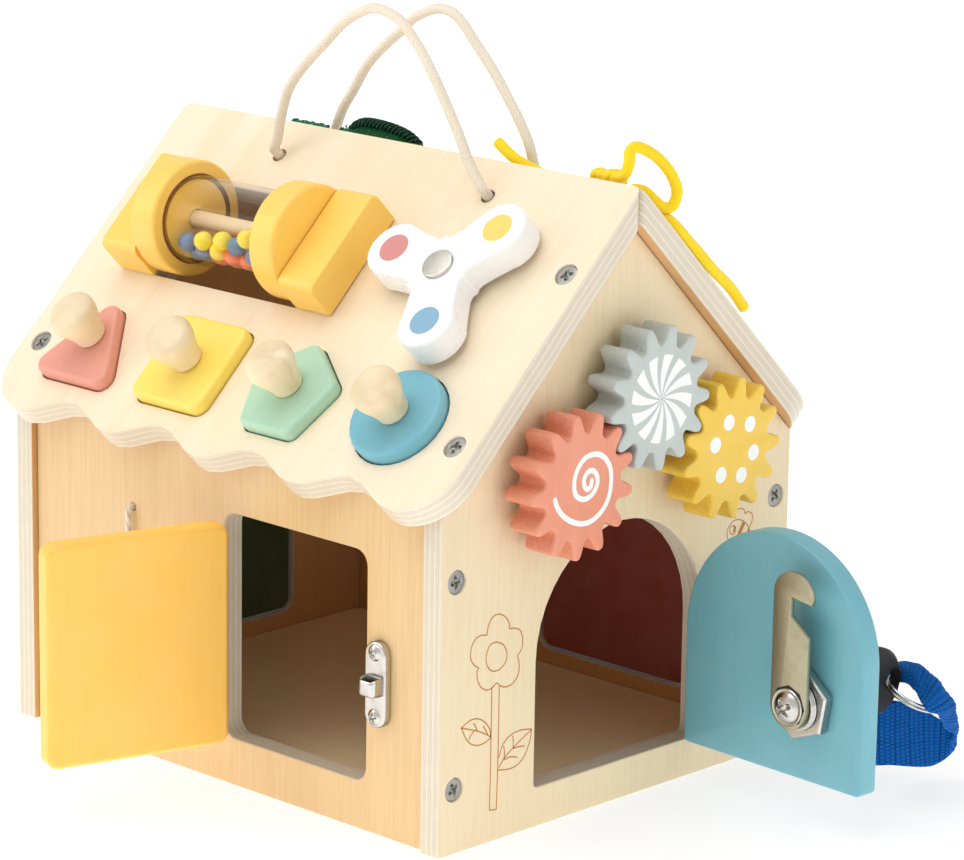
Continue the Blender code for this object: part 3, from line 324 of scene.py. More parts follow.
def ramp(tree, value, *stops):
    node = put(tree, "ValToRGB", value)
    bar = node.color_ramp
    while len(bar.elements) < len(stops):
        bar.elements.new(0.5)
    for element, (position, colour) in zip(bar.elements, stops):
        element.position = position
        element.color = colour if isinstance(colour, tuple) else (colour, colour, colour, 1.0)
    return node.outputs[0]


def mixed(tree, share, one, two, blend="MIX"):
    node = put(tree, "Mix", data_type="RGBA", blend_type=blend)
    for socket, value in ((0, share), (6, one), (7, two)):
        feed(tree, node.inputs[socket], value)
    return node.outputs[2]


def patched(tree, value, low, high, most, tone, other, blend="MIX"):
    # other shows where value climbs from low to high, at most with the share most
    return mixed(tree, ramp(tree, value, (low, 0.0), (high, most)), tone, other, blend)


def finish(tree, tone, height=None, distance=0.0, strength=1.0):  # feeds the shader its tone and bump
    shader = tree.nodes["Principled BSDF"]
    tree.links.new(tone, shader.inputs["Base Color"])
    if height is not None:
        node = put(tree, "Bump")
        for key, value in (("Strength", strength), ("Distance", distance), ("Height", height)):
            feed(tree, node.inputs[key], value)
        tree.links.new(node.outputs[0], shader.inputs["Normal"])


black, white, dusk, soot = (0, 0, 0, 1), (1, 1, 1, 1), (0.02, 0.02, 0.02, 1), (0.02, 0.015, 0.01, 1)
straight = ((1, 0, 0), (0, 1, 0), (0, 0, 1))
woodTones = {
    "paleFace": tint(236, 219, 184), "paleStreak": tint(225, 200, 158),
    # painted light: the roof's tones are a paler copy of the gables' birch, for the stronger light on its slopes
    "roofFace": tint(250, 235, 210), "roofStreak": tint(242, 214, 172),
    "warmFace": tint(229, 198, 148), "warmStreak": tint(217, 176, 120),
    # painted light: the floor's tones are a lighter copy of the walls' warm birch, brightening the floor in the
    # dim interior
    "floorFace": tint(255, 236, 196), "floorStreak": tint(250, 222, 176),
    # painted shade: the last tone here darkens the boards' inner faces, for the dim interior of the house
    "edge": tint(228, 219, 200), "line": tint(200, 184, 160), "inside": tint(236, 204, 166),
}
paintTones = {
    "drum": tint(255, 209, 96), "frontDoor": tint(255, 201, 86), "archDoor": tint(110, 176, 190),
    "sideDoor": tint(58, 86, 58), "backDoor": tint(146, 66, 54),
    "coral": tint(231, 147, 116), "grey": tint(188, 196, 192), "gold": tint(240, 198, 68),
    "triangle": tint(228, 154, 134), "square": tint(254, 224, 98), "pentagon": tint(176, 215, 186),
    "disc": tint(112, 180, 198), "white": tint(246, 246, 245),
    "red": tint(214, 138, 134), "blue": tint(132, 178, 204), "yellow": tint(248, 212, 104),
    "beadOrange": tint(255, 112, 20), "beadBlue": tint(92, 122, 158), "beadYellow": tint(250, 224, 16),
    "engraved": tint(186, 124, 58),
}
plySettings = {
    "layers": 7,          # veneers in a board
    "glueLine": 0.16,     # share of a veneer's thickness that its dark glue line takes
    "glueTone": (0.12, 0.09, 0.06, 1),
    "figureScale": 24.0,  # cathedral figure, per metre across the grain
    "figureDepth": 0.40,  # how far the figure goes from the face tone to the streak tone
    "fibreScale": 950.0,
    "roughness": 0.42,
}


def plywood(name, sheet, grain, start, thick, veneer, inner=None):
    # faces show rotary-cut figure along the grain, edges show the veneers by depth through the board
    s = plySettings
    face, streak = woodTones[veneer + "Face"], woodTones[veneer + "Streak"]
    edge, line = woodTones["edge"], woodTones["line"]
    paint, tree, _ = newPaint(name, Roughness=s["roughness"])
    where = place(tree)
    axes = (crossed(sheet, grain), grain, sheet)
    figure = noise(tree, stretched(tree, where, axes, (1.0, 0.13, 1.0)), s["figureScale"], 2.0, 0.5, 0.6)
    streak = mean(face, streak, s["figureDepth"])
    fibre = noise(tree, stretched(tree, where, axes, (1.0, 0.035, 1.0)), s["fibreScale"], 2.0, 0.6)
    fleck = noise(tree, stretched(tree, where, axes, (1.0, 0.10, 1.0)), 1500.0, 1.0)
    tone = ramp(tree, figure, (0.30, face), (0.50, mean(face, streak, 0.35)), (0.60, streak), (0.70, face))
    tone = patched(tree, noise(tree, where, 14.0), 0.35, 0.75, 0.55, tone, mean(face, streak, 0.7))
    tone = patched(tree, fibre, 0.40, 0.72, 0.22, tone, streak, "MULTIPLY")
    tone = patched(tree, fleck, 0.72, 0.78, 0.22, tone, mean(streak, line, 0.5))
    depth = sums(tree, "DIVIDE", sums(tree, "SUBTRACT", measured(tree, where, sheet), start), thick)
    if inner is not None:  # painted shade: the inner side, within the house, multiplied by a darker warm tone
        tone = mixed(tree, ramp(tree, depth, (0.02, 1.0), (0.05, 0.0)), tone, inner, "MULTIPLY")
    wobble = sums(tree, "MULTIPLY", sums(tree, "SUBTRACT", noise(tree, where, 60.0), 0.5), 0.09)
    veneers = sums(tree, "MULTIPLY", sums(tree, "ADD", depth, wobble), float(s["layers"]))
    veneers = sums(tree, "ADD", veneers, 10.0)
    odd = sums(tree, "GREATER_THAN", sums(tree, "MODULO", veneers, 2.0), 1.0)
    glue = ramp(tree, sums(tree, "FRACT", veneers), (0.0, 1.0), (s["glueLine"], 0.0), (1 - s["glueLine"], 0.0),
                (1.0, 1.0))
    broken = ramp(tree, noise(tree, where, 170.0), (0.3, 0.15), (0.7, 0.75))
    layered = mixed(tree, sums(tree, "MULTIPLY", odd, 0.35), edge, line)
    layered = mixed(tree, sums(tree, "MULTIPLY", glue, broken), layered, mean(line, s["glueTone"], 0.25))
    layered = patched(tree, noise(tree, where, 1500.0, 2.0, 0.7), 0.45, 0.75, 0.3, layered, line)
    onFace = ramp(tree, faceOn(tree, sheet), (0.72, 0.0), (0.85, 1.0))
    height = sums(tree, "ADD", fibre, sums(tree, "MULTIPLY", glue, -0.4))
    finish(tree, mixed(tree, onFace, layered, tone), height, 0.00006, 0.6)
    return paint


def painted(name, colour, worn=None, roughness=0.42, grain=(0, 0, 1), raw=0.0, sheet=None):
    # satin paint on wood: faint fibre, slow mottling; raw gives the rougher look of painted end grain
    paint, tree, _ = newPaint(name, Roughness=roughness)
    where = place(tree)
    along = tuple(0.06 if abs(g) > 0.5 else 1.0 for g in grain)
    fibre = noise(tree, stretched(tree, where, straight, along), 700.0)
    worn = worn or mean(colour, white, 0.12)
    tone = patched(tree, noise(tree, where, 55.0, 3.0, 0.6), 0.35, 0.72, 0.5, colour, worn)
    tone = patched(tree, fibre, 0.5, 0.8, 0.16, tone, mean(colour, black, 0.3))
    height = sums(tree, "MULTIPLY", fibre, 0.35)
    if raw:
        side = ramp(tree, faceOn(tree, sheet), (0.6, 1.0), (0.95, 0.0))
        grit = noise(tree, where, 1300.0, 2.0, 0.6)
        pits = sums(tree, "MULTIPLY", side, ramp(tree, grit, (0.4, 0.0), (0.65, raw)))
        tone = mixed(tree, pits, tone, mean(colour, black, 0.45))
        height = sums(tree, "ADD", height, sums(tree, "MULTIPLY", sums(tree, "MULTIPLY", side, grit), 2.5))
    finish(tree, tone, height, 0.00008, 0.7)
    return paint


def turnedWood(name, axis, light, dark):  # growth rings drawn out along the axis, with fine pores
    paint, tree, _ = newPaint(name, Roughness=0.5)
    side = crossed(axis, (0.6, 0.1, 0.3))
    long = stretched(tree, place(tree), (axis, side, crossed(axis, side)), (0.16, 1.0, 1.0))
    rings = noise(tree, long, 120.0, 2.0, 0.5, 0.3)
    pores = noise(tree, long, 1600.0, 1.0, 0.6)
    tone = ramp(tree, rings, (0.30, light), (0.50, mean(light, dark, 0.25)), (0.64, mean(light, dark, 0.6)),
                (0.76, light))
    finish(tree, patched(tree, pores, 0.62, 0.78, 0.25, tone, dark), pores, 0.00005, 0.5)
    return paint


def metal(name, colour, roughness, smear=0.12, brushed=None, dirt=0.25):
    # plated steel: fine scratches along one direction, cloudy polish, dull film, and a painted reflection that
    # darkens the flanks by the angle they are seen at
    paint, tree, shader = newPaint(name, Metallic=1.0)
    where = place(tree)
    cloud = noise(tree, where, 260.0, 4.0, 0.65)
    if brushed is None:
        lines = noise(tree, where, 2400.0)
    else:
        lines = noise(tree, stretched(tree, where, brushed, (1.0, 0.04, 1.0)), 4200.0)
    rough = ramp(tree, cloud, (0.3, roughness), (0.75, roughness + smear))
    feed(tree, shader.inputs["Roughness"], sums(tree, "ADD", rough, sums(tree, "MULTIPLY", lines, 0.06)))
    tone = patched(tree, cloud, 0.45, 0.8, dirt, colour, mean(colour, soot, 0.5))
    # painted reflection: faces seen at a slant turn dark, faces seen straight on or edge-on stay light
    paintedReflection = ramp(tree, grazing(tree), (0.3, 0.0), (0.6, 0.75), (0.95, 0.2))
    finish(tree, mixed(tree, paintedReflection, tone, mean(colour, dusk, 0.75)), lines, 0.00001, 0.5)
    return paint


def printed(name, colour, roughness=0.45):
    paint, tree, _ = newPaint(name, Roughness=roughness)
    speck = noise(tree, place(tree), 900.0, 3.0, 0.6)
    finish(tree, patched(tree, speck, 0.5, 0.8, 0.25, colour, mean(colour, (0.3, 0.3, 0.3, 1), 0.4)))
    return paint


def yarn(name, light, dark, roughness=0.85, sheen=0.3, scale=2600.0, gain=0.8):
    # braid, twist or weave: painted shade, where the piece's relief attribute darkens the hollows; fibres come
    # from noise
    paint, tree, _ = newPaint(name, Roughness=roughness, Sheen_Weight=sheen, Sheen_Roughness=0.5,
                              Specular_IOR_Level=0.15)
    where = place(tree)
    hair = noise(tree, where, scale, 3.0, 0.65)
    # painted shade: low relief takes the dark tone, the crowns take the light one
    tone = ramp(tree, reliefOf(tree), (0.0, dark), (0.55, mean(dark, light, gain)), (1.0, light))
    tone = patched(tree, hair, 0.4, 0.75, 0.35, tone, mean(dark, light, 0.3))
    tone = patched(tree, noise(tree, where, 160.0), 0.4, 0.7, 0.22, tone, mean(dark, light, 0.5))
    finish(tree, tone, hair, 0.00012, 0.8)
    return paint


def plastic(name, colour, roughness=0.4, bump=0.00003):
    paint, tree, shader = newPaint(name)
    where = place(tree)
    cloud = noise(tree, where, 320.0, 3.0, 0.6)
    feed(tree, shader.inputs["Roughness"], ramp(tree, cloud, (0.3, roughness - 0.06), (0.7, roughness + 0.08)))
    tone = patched(tree, cloud, 0.4, 0.8, 0.2, colour, mean(colour, (0.5, 0.5, 0.5, 1), 0.06))
    finish(tree, tone, noise(tree, where, 900.0, 1.0), bump, 0.3)
    return paint


def clearTube(name):  # thin clear wall: it lets light straight through and mirrors more at grazing angles
    paint, tree, shader = newPaint(name, Base_Color=white, Metallic=1.0)
    haze = noise(tree, place(tree), 90.0)
    feed(tree, shader.inputs["Roughness"], ramp(tree, haze, (0.3, 0.02), (0.8, 0.07)))
    through = put(tree, "BsdfTransparent", (0.99, 0.992, 0.994, 1.0))
    mirror = sums(tree, "MULTIPLY", sums(tree, "POWER", grazing(tree), 4.0), 0.6)
    mix = put(tree, "MixShader", sums(tree, "ADD", mirror, 0.004), through.outputs[0], shader.outputs[0])
    out = next(n for n in tree.nodes if n.type == "OUTPUT_MATERIAL")
    tree.links.new(mix.outputs[0], out.inputs["Surface"])
    return paint


# the model's own pieces: softened edges and a finish


def dress(node, paint, bevel=0.0004, steps=2, limit=35.0, cutter=None):
    # the node stays as it is; modifiers weld its facets, round its edges and even out its shading
    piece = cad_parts[node]
    piece.data.materials.clear()
    piece.data.materials.append(paint)
    if "custom_normal" in piece.data.attributes:
        piece.data.attributes.remove(piece.data.attributes["custom_normal"])
    piece.data.shade_smooth()
    piece.modifiers.new("weld", "WELD").merge_threshold = 0.00001
    flat = piece.modifiers.new("flat", "DECIMATE")
    flat.decimate_type, flat.angle_limit = "DISSOLVE", math.radians(0.6)
    edge = piece.modifiers.new("edge", "BEVEL")
    edge.width, edge.segments, edge.limit_method = bevel, steps, "ANGLE"
    edge.angle_limit = math.radians(limit)
    if cutter is not None:
        hole = piece.modifiers.new("holes", "BOOLEAN")
        hole.object, hole.solver, hole.operation = cutter, "EXACT", "DIFFERENCE"
    even = piece.modifiers.new("even", "WEIGHTED_NORMAL")
    even.mode, even.weight, even.thresh = "FACE_AREA", 50, 0.01


view = {  # solved from the photograph
    "azimuth": 46.179, "pitch": 14.113, "roll": 0.892,  # degrees
    "distance": 1.366311, "target": (0.023947, 0.014178, 0.106012),
    "focal": 4138.057, "imageWidth": 964, "sensor": 36.0,
}


def makeCamera(v):
    a, p, r = (math.radians(v[k]) for k in ("azimuth", "pitch", "roll"))
    back = Vector((math.cos(p) * math.cos(a), -math.cos(p) * math.sin(a), math.sin(p)))
    right = Vector((math.sin(a), math.cos(a), 0.0))
    up = back.cross(right)
    axes = (math.cos(r) * right + math.sin(r) * up, -math.sin(r) * right + math.cos(r) * up, back)
    lens = bpy.data.cameras.new("camera")
    lens.sensor_width, lens.lens = v["sensor"], v["focal"] * v["sensor"] / v["imageWidth"]
    lens.clip_start, lens.clip_end = 0.05, 20.0
    camera = bpy.data.objects.new("camera", lens)
    spot = Vector(v["target"]) + v["distance"] * back
    camera.matrix_world = Matrix.Translation(spot) @ Matrix(axes).transposed().to_4x4()
    bpy.context.scene.collection.objects.link(camera)
    bpy.context.scene.camera = camera

makeCamera(view)
bpy.context.scene.view_settings.view_transform = "Standard"

lamps = {  # place, watts, size in metres, colour
    "top": ((-0.10, -0.40, 1.25), 9.0, 1.3, (1.0, 0.995, 0.985)),
    "left": ((-1.15, -1.10, 0.75), 5.0, 1.0, (1.0, 0.985, 0.96)),
    "right": ((1.35, 0.35, 0.75), 3.6, 0.9, (1.0, 0.995, 0.985)),
}
stage = {  # the floor gives back much light; as seen it keeps the shadow near the house and fades to white
    "albedo": 0.93, "seenAlbedo": 0.42, "glow": 0.73, "seenGlow": 0.66, "farGlow": 1.0,
    "fadeFrom": 0.24, "fadeTo": 0.60, "ambient": 0.42, "size": 6.0,
}


def seenShare(tree, *more):  # 1 for rays that end in the picture
    ray = put(tree, "LightPath")
    seen = sums(tree, "MAXIMUM", ray.outputs["Is Camera Ray"], ray.outputs["Is Transmission Ray"])
    for name, share in more:
        seen = sums(tree, "MAXIMUM", seen, sums(tree, "MULTIPLY", ray.outputs[name], share))
    return seen


def makeLight():
    for name, (spot, watts, size, colour) in lamps.items():
        data = bpy.data.lights.new(name, "AREA")
        data.shape, data.size, data.energy, data.color = "DISK", size, watts, colour
        lamp = bpy.data.objects.new(name, data)
        lamp.location = spot
        lamp.rotation_euler = (Vector((0, 0, 0.1)) - Vector(spot)).to_track_quat("-Z", "Y").to_euler()
        bpy.context.scene.collection.objects.link(lamp)
    sky = bpy.context.scene.world or bpy.data.worlds.new("studio")
    bpy.context.scene.world = sky
    sky.use_nodes = True
    tree = sky.node_tree
    tree.nodes.clear()
    seen = seenShare(tree, ("Is Glossy Ray", 0.75))
    strength = sums(tree, "ADD", stage["ambient"], sums(tree, "MULTIPLY", seen, 1.0 - stage["ambient"]))
    background = put(tree, "Background", (1.0, 1.0, 1.0, 1.0), strength)
    tree.links.new(background.outputs[0], put(tree, "OutputWorld").inputs[0])


def makeFloor():
    half = stage["size"] / 2
    corners = [(x * half, y * half, 0) for x, y in ((-1, -1), (1, -1), (1, 1), (-1, 1))]
    mesh = bpy.data.meshes.new("floorPlane")
    mesh.from_pydata(corners, [], [(0, 1, 2, 3)])
    ground = bpy.data.objects.new("studioFloor", mesh)
    bpy.context.scene.collection.objects.link(ground)
    paint, tree, shader = newPaint("studioFloor", Roughness=0.9, Emission_Color=(1.0, 1.0, 1.0, 1.0))
    seen = seenShare(tree)
    finish(tree, ramp(tree, seen, (0.0, stage["albedo"]), (1.0, stage["seenAlbedo"])))
    away = put(tree, "VectorMath", place(tree), operation="LENGTH").outputs["Value"]
    fade = put(tree, "MapRange", away, stage["fadeFrom"], stage["fadeTo"], stage["seenGlow"],
               stage["farGlow"]).outputs[0]
    glow = put(tree, "MapRange", seen, 0.0, 1.0, stage["glow"], fade).outputs[0]
    tree.links.new(glow, shader.inputs["Emission Strength"])
    mesh.materials.append(paint)


makeLight()
makeFloor()
print("camera, light and floor made")

# cords: routes as in the model's source, in millimetres

cords = {
    "step": 0.00035, "sides": 32, "tuck": 0.35,
    "ropeRadius": 0.00175, "laceRadius": 0.0019, "pullRadius": 0.0010,
    "holeAcross": 0.0482, "holeDown": 0.0140,
    "ropeKnot": 0.0032, "knotDrop": 0.0012, "pullKnot": 0.0016,
    "laceKnots": (((0.0822, 0.0052, 0.2003), 0.0019), ((0.0882, 0.0054, 0.2003), 0.0026)),  # place, size
}
frontRope = ((-47, -12, 197.5), (-45.8, -11.8, 204), (-42.1, -11.8, 214), (-34.5, -12, 222.9),
             (-24.2, -12, 232), (-14.9, -12, 240), (-2.9, -12, 245.4), (8.1, -12, 243.9), (15.4, -12, 238.6),
             (23.6, -12, 229.3), (31, -12, 218.7), (36.9, -12, 209.5), (42.5, -12.2, 200))
rearRope = ((-44, 11, 196.5), (-38.4, 9.5, 205.5), (-33.7, 9.5, 212.1), (-26.4, 9.5, 222.3),
            (-18.5, 9.5, 229.5), (-10.7, 9.5, 235.4), (-3.8, 9.5, 240.8), (6.6, 9.5, 244.4),
            (14.8, 9.5, 242.6), (22.6, 9.5, 235.4), (30.8, 9.5, 227.3), (37.7, 9.5, 219.1), (43.2, 9.5, 212),
            (46.9, 10, 205.1), (48.4, 10.8, 198.5))
laceRoute = ((38.5, 3.8, 206), (45.8, 4, 201.6), (53, 6, 198.4), (64, 9, 195), (75, 7.5, 196.5),
             (83, 4.2, 201.2), (89, 4, 201.3), (93.8, 3.6, 202.7), (95.2, 4.1, 206.6), (94.5, 5.2, 209.8),
             (95.5, 7.1, 211.3), (97.2, 11.5, 209.4), (99, 16.2, 205.3), (100.3, 19.7, 200),
             (100.8, 20.7, 195.5), (100, 19.4, 191.6), (98.5, 16.8, 191.4), (97.2, 14.4, 193.6),
             (94.5, 12.2, 196.5), (90, 12, 196.2), (87.2, 15, 191.8), (93, 18.2, 186.8), (99, 17.8, 187.8),
             (102, 19.8, 185), (102.9, 24.6, 180), (103.6, 28.8, 175.9), (104, 32.9, 171.8),
             (104, 36.9, 168.4), (104, 42.7, 163.8), (104, 47.4, 159.2), (104, 51.5, 154.5))
pullRoute = ((-43.7, -67, 83.5), (-43.7, -73, 83.5), (-43.7, -80, 83.6), (-43.7, -81.1, 82.9),
             (-43.7, -81.5, 80.8), (-43.7, -81.4, 72), (-43.6, -81.3, 60), (-43.7, -81.4, 48))


def braid(strands, pitch, depth):
    # diamonds where two sets of strands wind opposite ways: the root of the product of two sine waves
    def pattern(angle, run, radius):
        relief = np.sqrt(np.abs(np.sin(strands * angle / 2 + math.pi * run / pitch)
                                * np.sin(strands * angle / 2 - math.pi * run / pitch)))
        return radius * (1 - depth + depth * relief), relief
    return pattern


def twist(strands, pitch, depth):  # strands laid round each other: a cosine that turns along the cord
    def pattern(angle, run, radius):
        relief = np.abs(np.cos(strands * angle / 2 + math.pi * run / pitch))
        return radius * (1 - depth + depth * relief), relief
    return pattern


def knotPiece(name, centre, axis, size, radius, paint, pattern, slot):
    # overhand knot drawn tight: a trefoil curve round the cord
    turn, angle = circle(240), circle(20)
    wide = 2 + np.cos(3 * turn)
    curve = np.stack([wide * np.cos(2 * turn), wide * np.sin(2 * turn), 1.4 * np.sin(3 * turn)], -1) * size / 3
    axis = unit(np.array(axis, float))
    first = unit(np.cross(axis, [0.3, 0.9, 0.1]))
    curve = np.array(centre) + curve @ np.stack([first, np.cross(axis, first), axis])
    bulk, relief = pattern(angle, walked(curve)[:, None], radius)
    return makePiece(name, [tube(curve, bulk, angle, True)], "house", paint, relief=relief)


def addCord(name, node, slot, route, radius, paint, pattern, knots, **manner):
    # the pattern's radius carried round the smooth curve; the ends close over a few short rings
    path, run = smoothPath(route, cords["step"])
    angle = circle(cords["sides"])
    size, relief = pattern(angle, run[:, None], radius)
    reach = np.minimum(run, run[-1] - run)[:, None] / (radius * cords["tuck"])
    size = size * np.sqrt(np.clip(1 - (1 - np.clip(reach, 0, 1)) ** 2, 0.05, 1))
    cord = makePiece(name, [tube(path, size, angle)], "house", paint, node, relief=relief)
    ties = [knotPiece(knot, *values, paint, pattern, slot) for knot, *values in knots]


def makeCords():
    c = cords
    cream = yarn("ropeCotton", tint(247, 238, 221), tint(203, 182, 150), 0.9, 0.25)
    yellow = yarn("laceYellow", tint(255, 228, 30), tint(250, 196, 0), 0.62, 0.35)
    pale = yarn("cordWhite", tint(244, 240, 230), tint(190, 178, 158), 0.9, 0.2)
    radius = c["ropeRadius"]
    levels = (-house["roofThick"] - 2 * radius, -house["roofThick"] / 2, radius, 2 * radius)
    for name, slope, route in (("front", frontRoof, frontRope), ("rear", rearRoof, rearRope)):
        ends = [[slope(np.array([side * c["holeAcross"], c["holeDown"], n])) for n in levels]
                for side in (-1, 1)]
        route = ends[0] + list(np.array(route) / 1000) + ends[1][::-1]
        knots = [("ropeKnot_%s_%d" % (name, k), end[0] - [0, 0, c["knotDrop"]], end[1] - end[0], c["ropeKnot"],
                  radius * 0.95) for k, end in enumerate(ends)]
        addCord("rope_%s_braided" % name, "rope_" + name, "rope", route, radius, cream, braid(12, 0.0024, 0.07),
                knots, far_end="knot", stiffness="stiff", lay="taut")
    radius = c["laceRadius"]
    knots = [("laceKnot_%d" % k, spot, rearNormal, size, radius * 0.9)
             for k, (spot, size) in enumerate(c["laceKnots"])]
    addCord("lace_braided", "lace", "yellow_lace", np.array(laceRoute) / 1000, radius, yellow,
            braid(12, 0.0021, 0.10), knots, far_end="bare", stiffness="limp", lay="loose")
    radius = c["pullRadius"]
    route = np.array(pullRoute) / 1000
    knots = [("pullKnot", route[-1] + [0, -0.0004, 0.0022], (0, 0, 1), c["pullKnot"], radius * 0.8)]
    addCord("pullCord_twisted", "pull_cord", "white_cord", route, radius, pale, twist(2, 0.0042, 0.20),
            knots, far_end="knot", stiffness="limp", lay="hanging")


makeCords()
print("ropes, lace and pull cord made")

# screws: heads for the roof boards and gables, with real countersinks in them; screws on the keeper, hinges,
# button and cam come further down

screwSizes = {
    "board": 0.0038, "plate": 0.0028, "hinge": 0.0021, "cam": 0.0053, "button": 0.0030,  # head radius
    "crossHalf": 0.58, "crossWide": 0.17, "crossDeep": 0.42,  # shares of the head's radius
    "seatOut": 0.0005, "seatIn": -0.0016, "sunk": -0.00035,
    "armEnd": 0.10, "armFlank": 0.06, "pit": 0.27, "pitFlank": 0.08, "rim": 0.93,  # shares of the head's radius
}


def screwHead(radius, rise, depth, turn, rings=22, segments=56):
    # height over the disc: a low dome with a cross pressed into it, deepest in the middle
    share = np.linspace(0, 1, rings)[1:, None]
    angle = circle(segments)[None, :]
    x, y = abs(share * np.cos(angle - turn)), abs(share * np.sin(angle - turn))
    s = screwSizes
    far, deep = np.maximum(x, y), radius * s["crossDeep"]
    ends = np.clip((s["crossHalf"] - far) / s["armEnd"], 0, 1)
    arms = np.clip((s["crossWide"] * (1.25 - 0.6 * far) - np.minimum(x, y)) / s["armFlank"], 0, 1)
    middle = np.clip((s["pit"] - share) / s["pitFlank"], 0, 1)
    press = np.maximum(np.minimum(ends, arms), middle) * (1 - 0.45 * share / s["crossHalf"])
    height = rise * (1 - share ** 2.2) - deep * press
    height = np.where(share > s["rim"], rise * 0.05 - (share - s["rim"]) * radius * 0.9, height)
    pole = np.broadcast_to([0.0, 0.0, -deep], (1, segments, 3))
    points, quads, caps = grid(np.concatenate([pole, polar(radius * share, angle, height),
                                               polar(radius * 0.99, angle, -depth)]))
    return points, np.where(quads < segments, 0, quads), caps[1:]


def screwGroup(name, body, paint, spots):  # spots: place, radius, rise, depth, turn
    heads = [placed(screwHead(*shape), where) for where, *shape in spots]
    makePiece(name, heads, body, paint, crisp=50)


def countersinks(name, places, radius, out, deep):  # cones that cut seats for the screw heads
    profile = [(0.0, out), (1.12 * radius, out), (1.06 * radius, 0.0), (0.9 * radius, deep), (0.0, deep)]
    cone = lathe(profile, 40)
    tool = makePiece(name, [placed(cone, where) for where in places], "house", steelDull)
    tool.hide_render, tool.display_type = True, "WIRE"
    return tool


steelDull = metal("plated", tint(158, 156, 150), 0.34, dirt=0.5)
steelBright = metal("bright", tint(196, 194, 190), 0.16, dirt=0.35)

roofScrews = [(s * a, v) for s in (-1, 1) for a, v in ((0.0970, 0.0360), (0.0965, 0.1025))]
gableScrews = [(s * 0.0750, z) for s in (-1, 1) for z in (0.0875, 0.0210)]
turns = np.linspace(0.3, 5.9, 16)
seats = {board: [moved(where, *spot) for spot in spots] for board, where, spots in (
    ("roof_front", frontRoof, roofScrews), ("roof_rear", rearRoof, roofScrews),
    ("gable_right", archGable, gableScrews), ("gable_left", onGable(-1), gableScrews))}
cutters = {board: countersinks("seats_" + board, places, screwSizes["board"], screwSizes["seatOut"],
                               screwSizes["seatIn"]) for board, places in seats.items()}
screwGroup("boardScrews", "house", steelDull,
           [(moved(where, 0, 0, screwSizes["sunk"]), screwSizes["board"], 0.00012, 0.0012, turns[k % 16])
            for k, where in enumerate(p for places in seats.values() for p in places)])
print("board screws made")

boards = {  # node: sheet normal, grain, depth of the first face, thickness, veneer tones (the roof's and the floor's paint light), slot, rounding
    "gable_right": ((1, 0, 0), (0, 0, 1), 0.092, 0.008, "pale", "birch", 0.0005),
    "gable_left": ((-1, 0, 0), (0, 0, 1), 0.092, 0.008, "pale", "birch", 0.0005),
    "wall_front": ((0, -1, 0), (0, 0, 1), 0.0716, 0.008, "warm", "birch_warm", 0.0005),
    "wall_back": ((0, 1, 0), (0, 0, 1), 0.0716, 0.008, "warm", "birch_warm", 0.0005),
    "floor": ((0, 0, 1), (1, 0, 0), 0.0, 0.0085, "floor", "birch_warm", 0.0005),
}
for node, normal, side in (("roof_front", frontNormal, -1), ("roof_rear", rearNormal, 1)):
    boards[node] = (normal, (0, side * slopeCos, -slopeSin), ridgeTop * slopeCos - house["roofThick"],
                    house["roofThick"], "roof", "birch", 0.0006)
for node, (sheet, grain, start, thick, veneer, slot, rounding) in boards.items():
    inside = woodTones["inside"] if node != "floor" else None
    dress(node, plywood(node + "_ply", sheet, grain, start, thick, veneer, inside), rounding,
          cutter=cutters.get(node))
print("boards dressed")

# engraving on the arched gable: burnt lines, places in millimetres (depth, height)

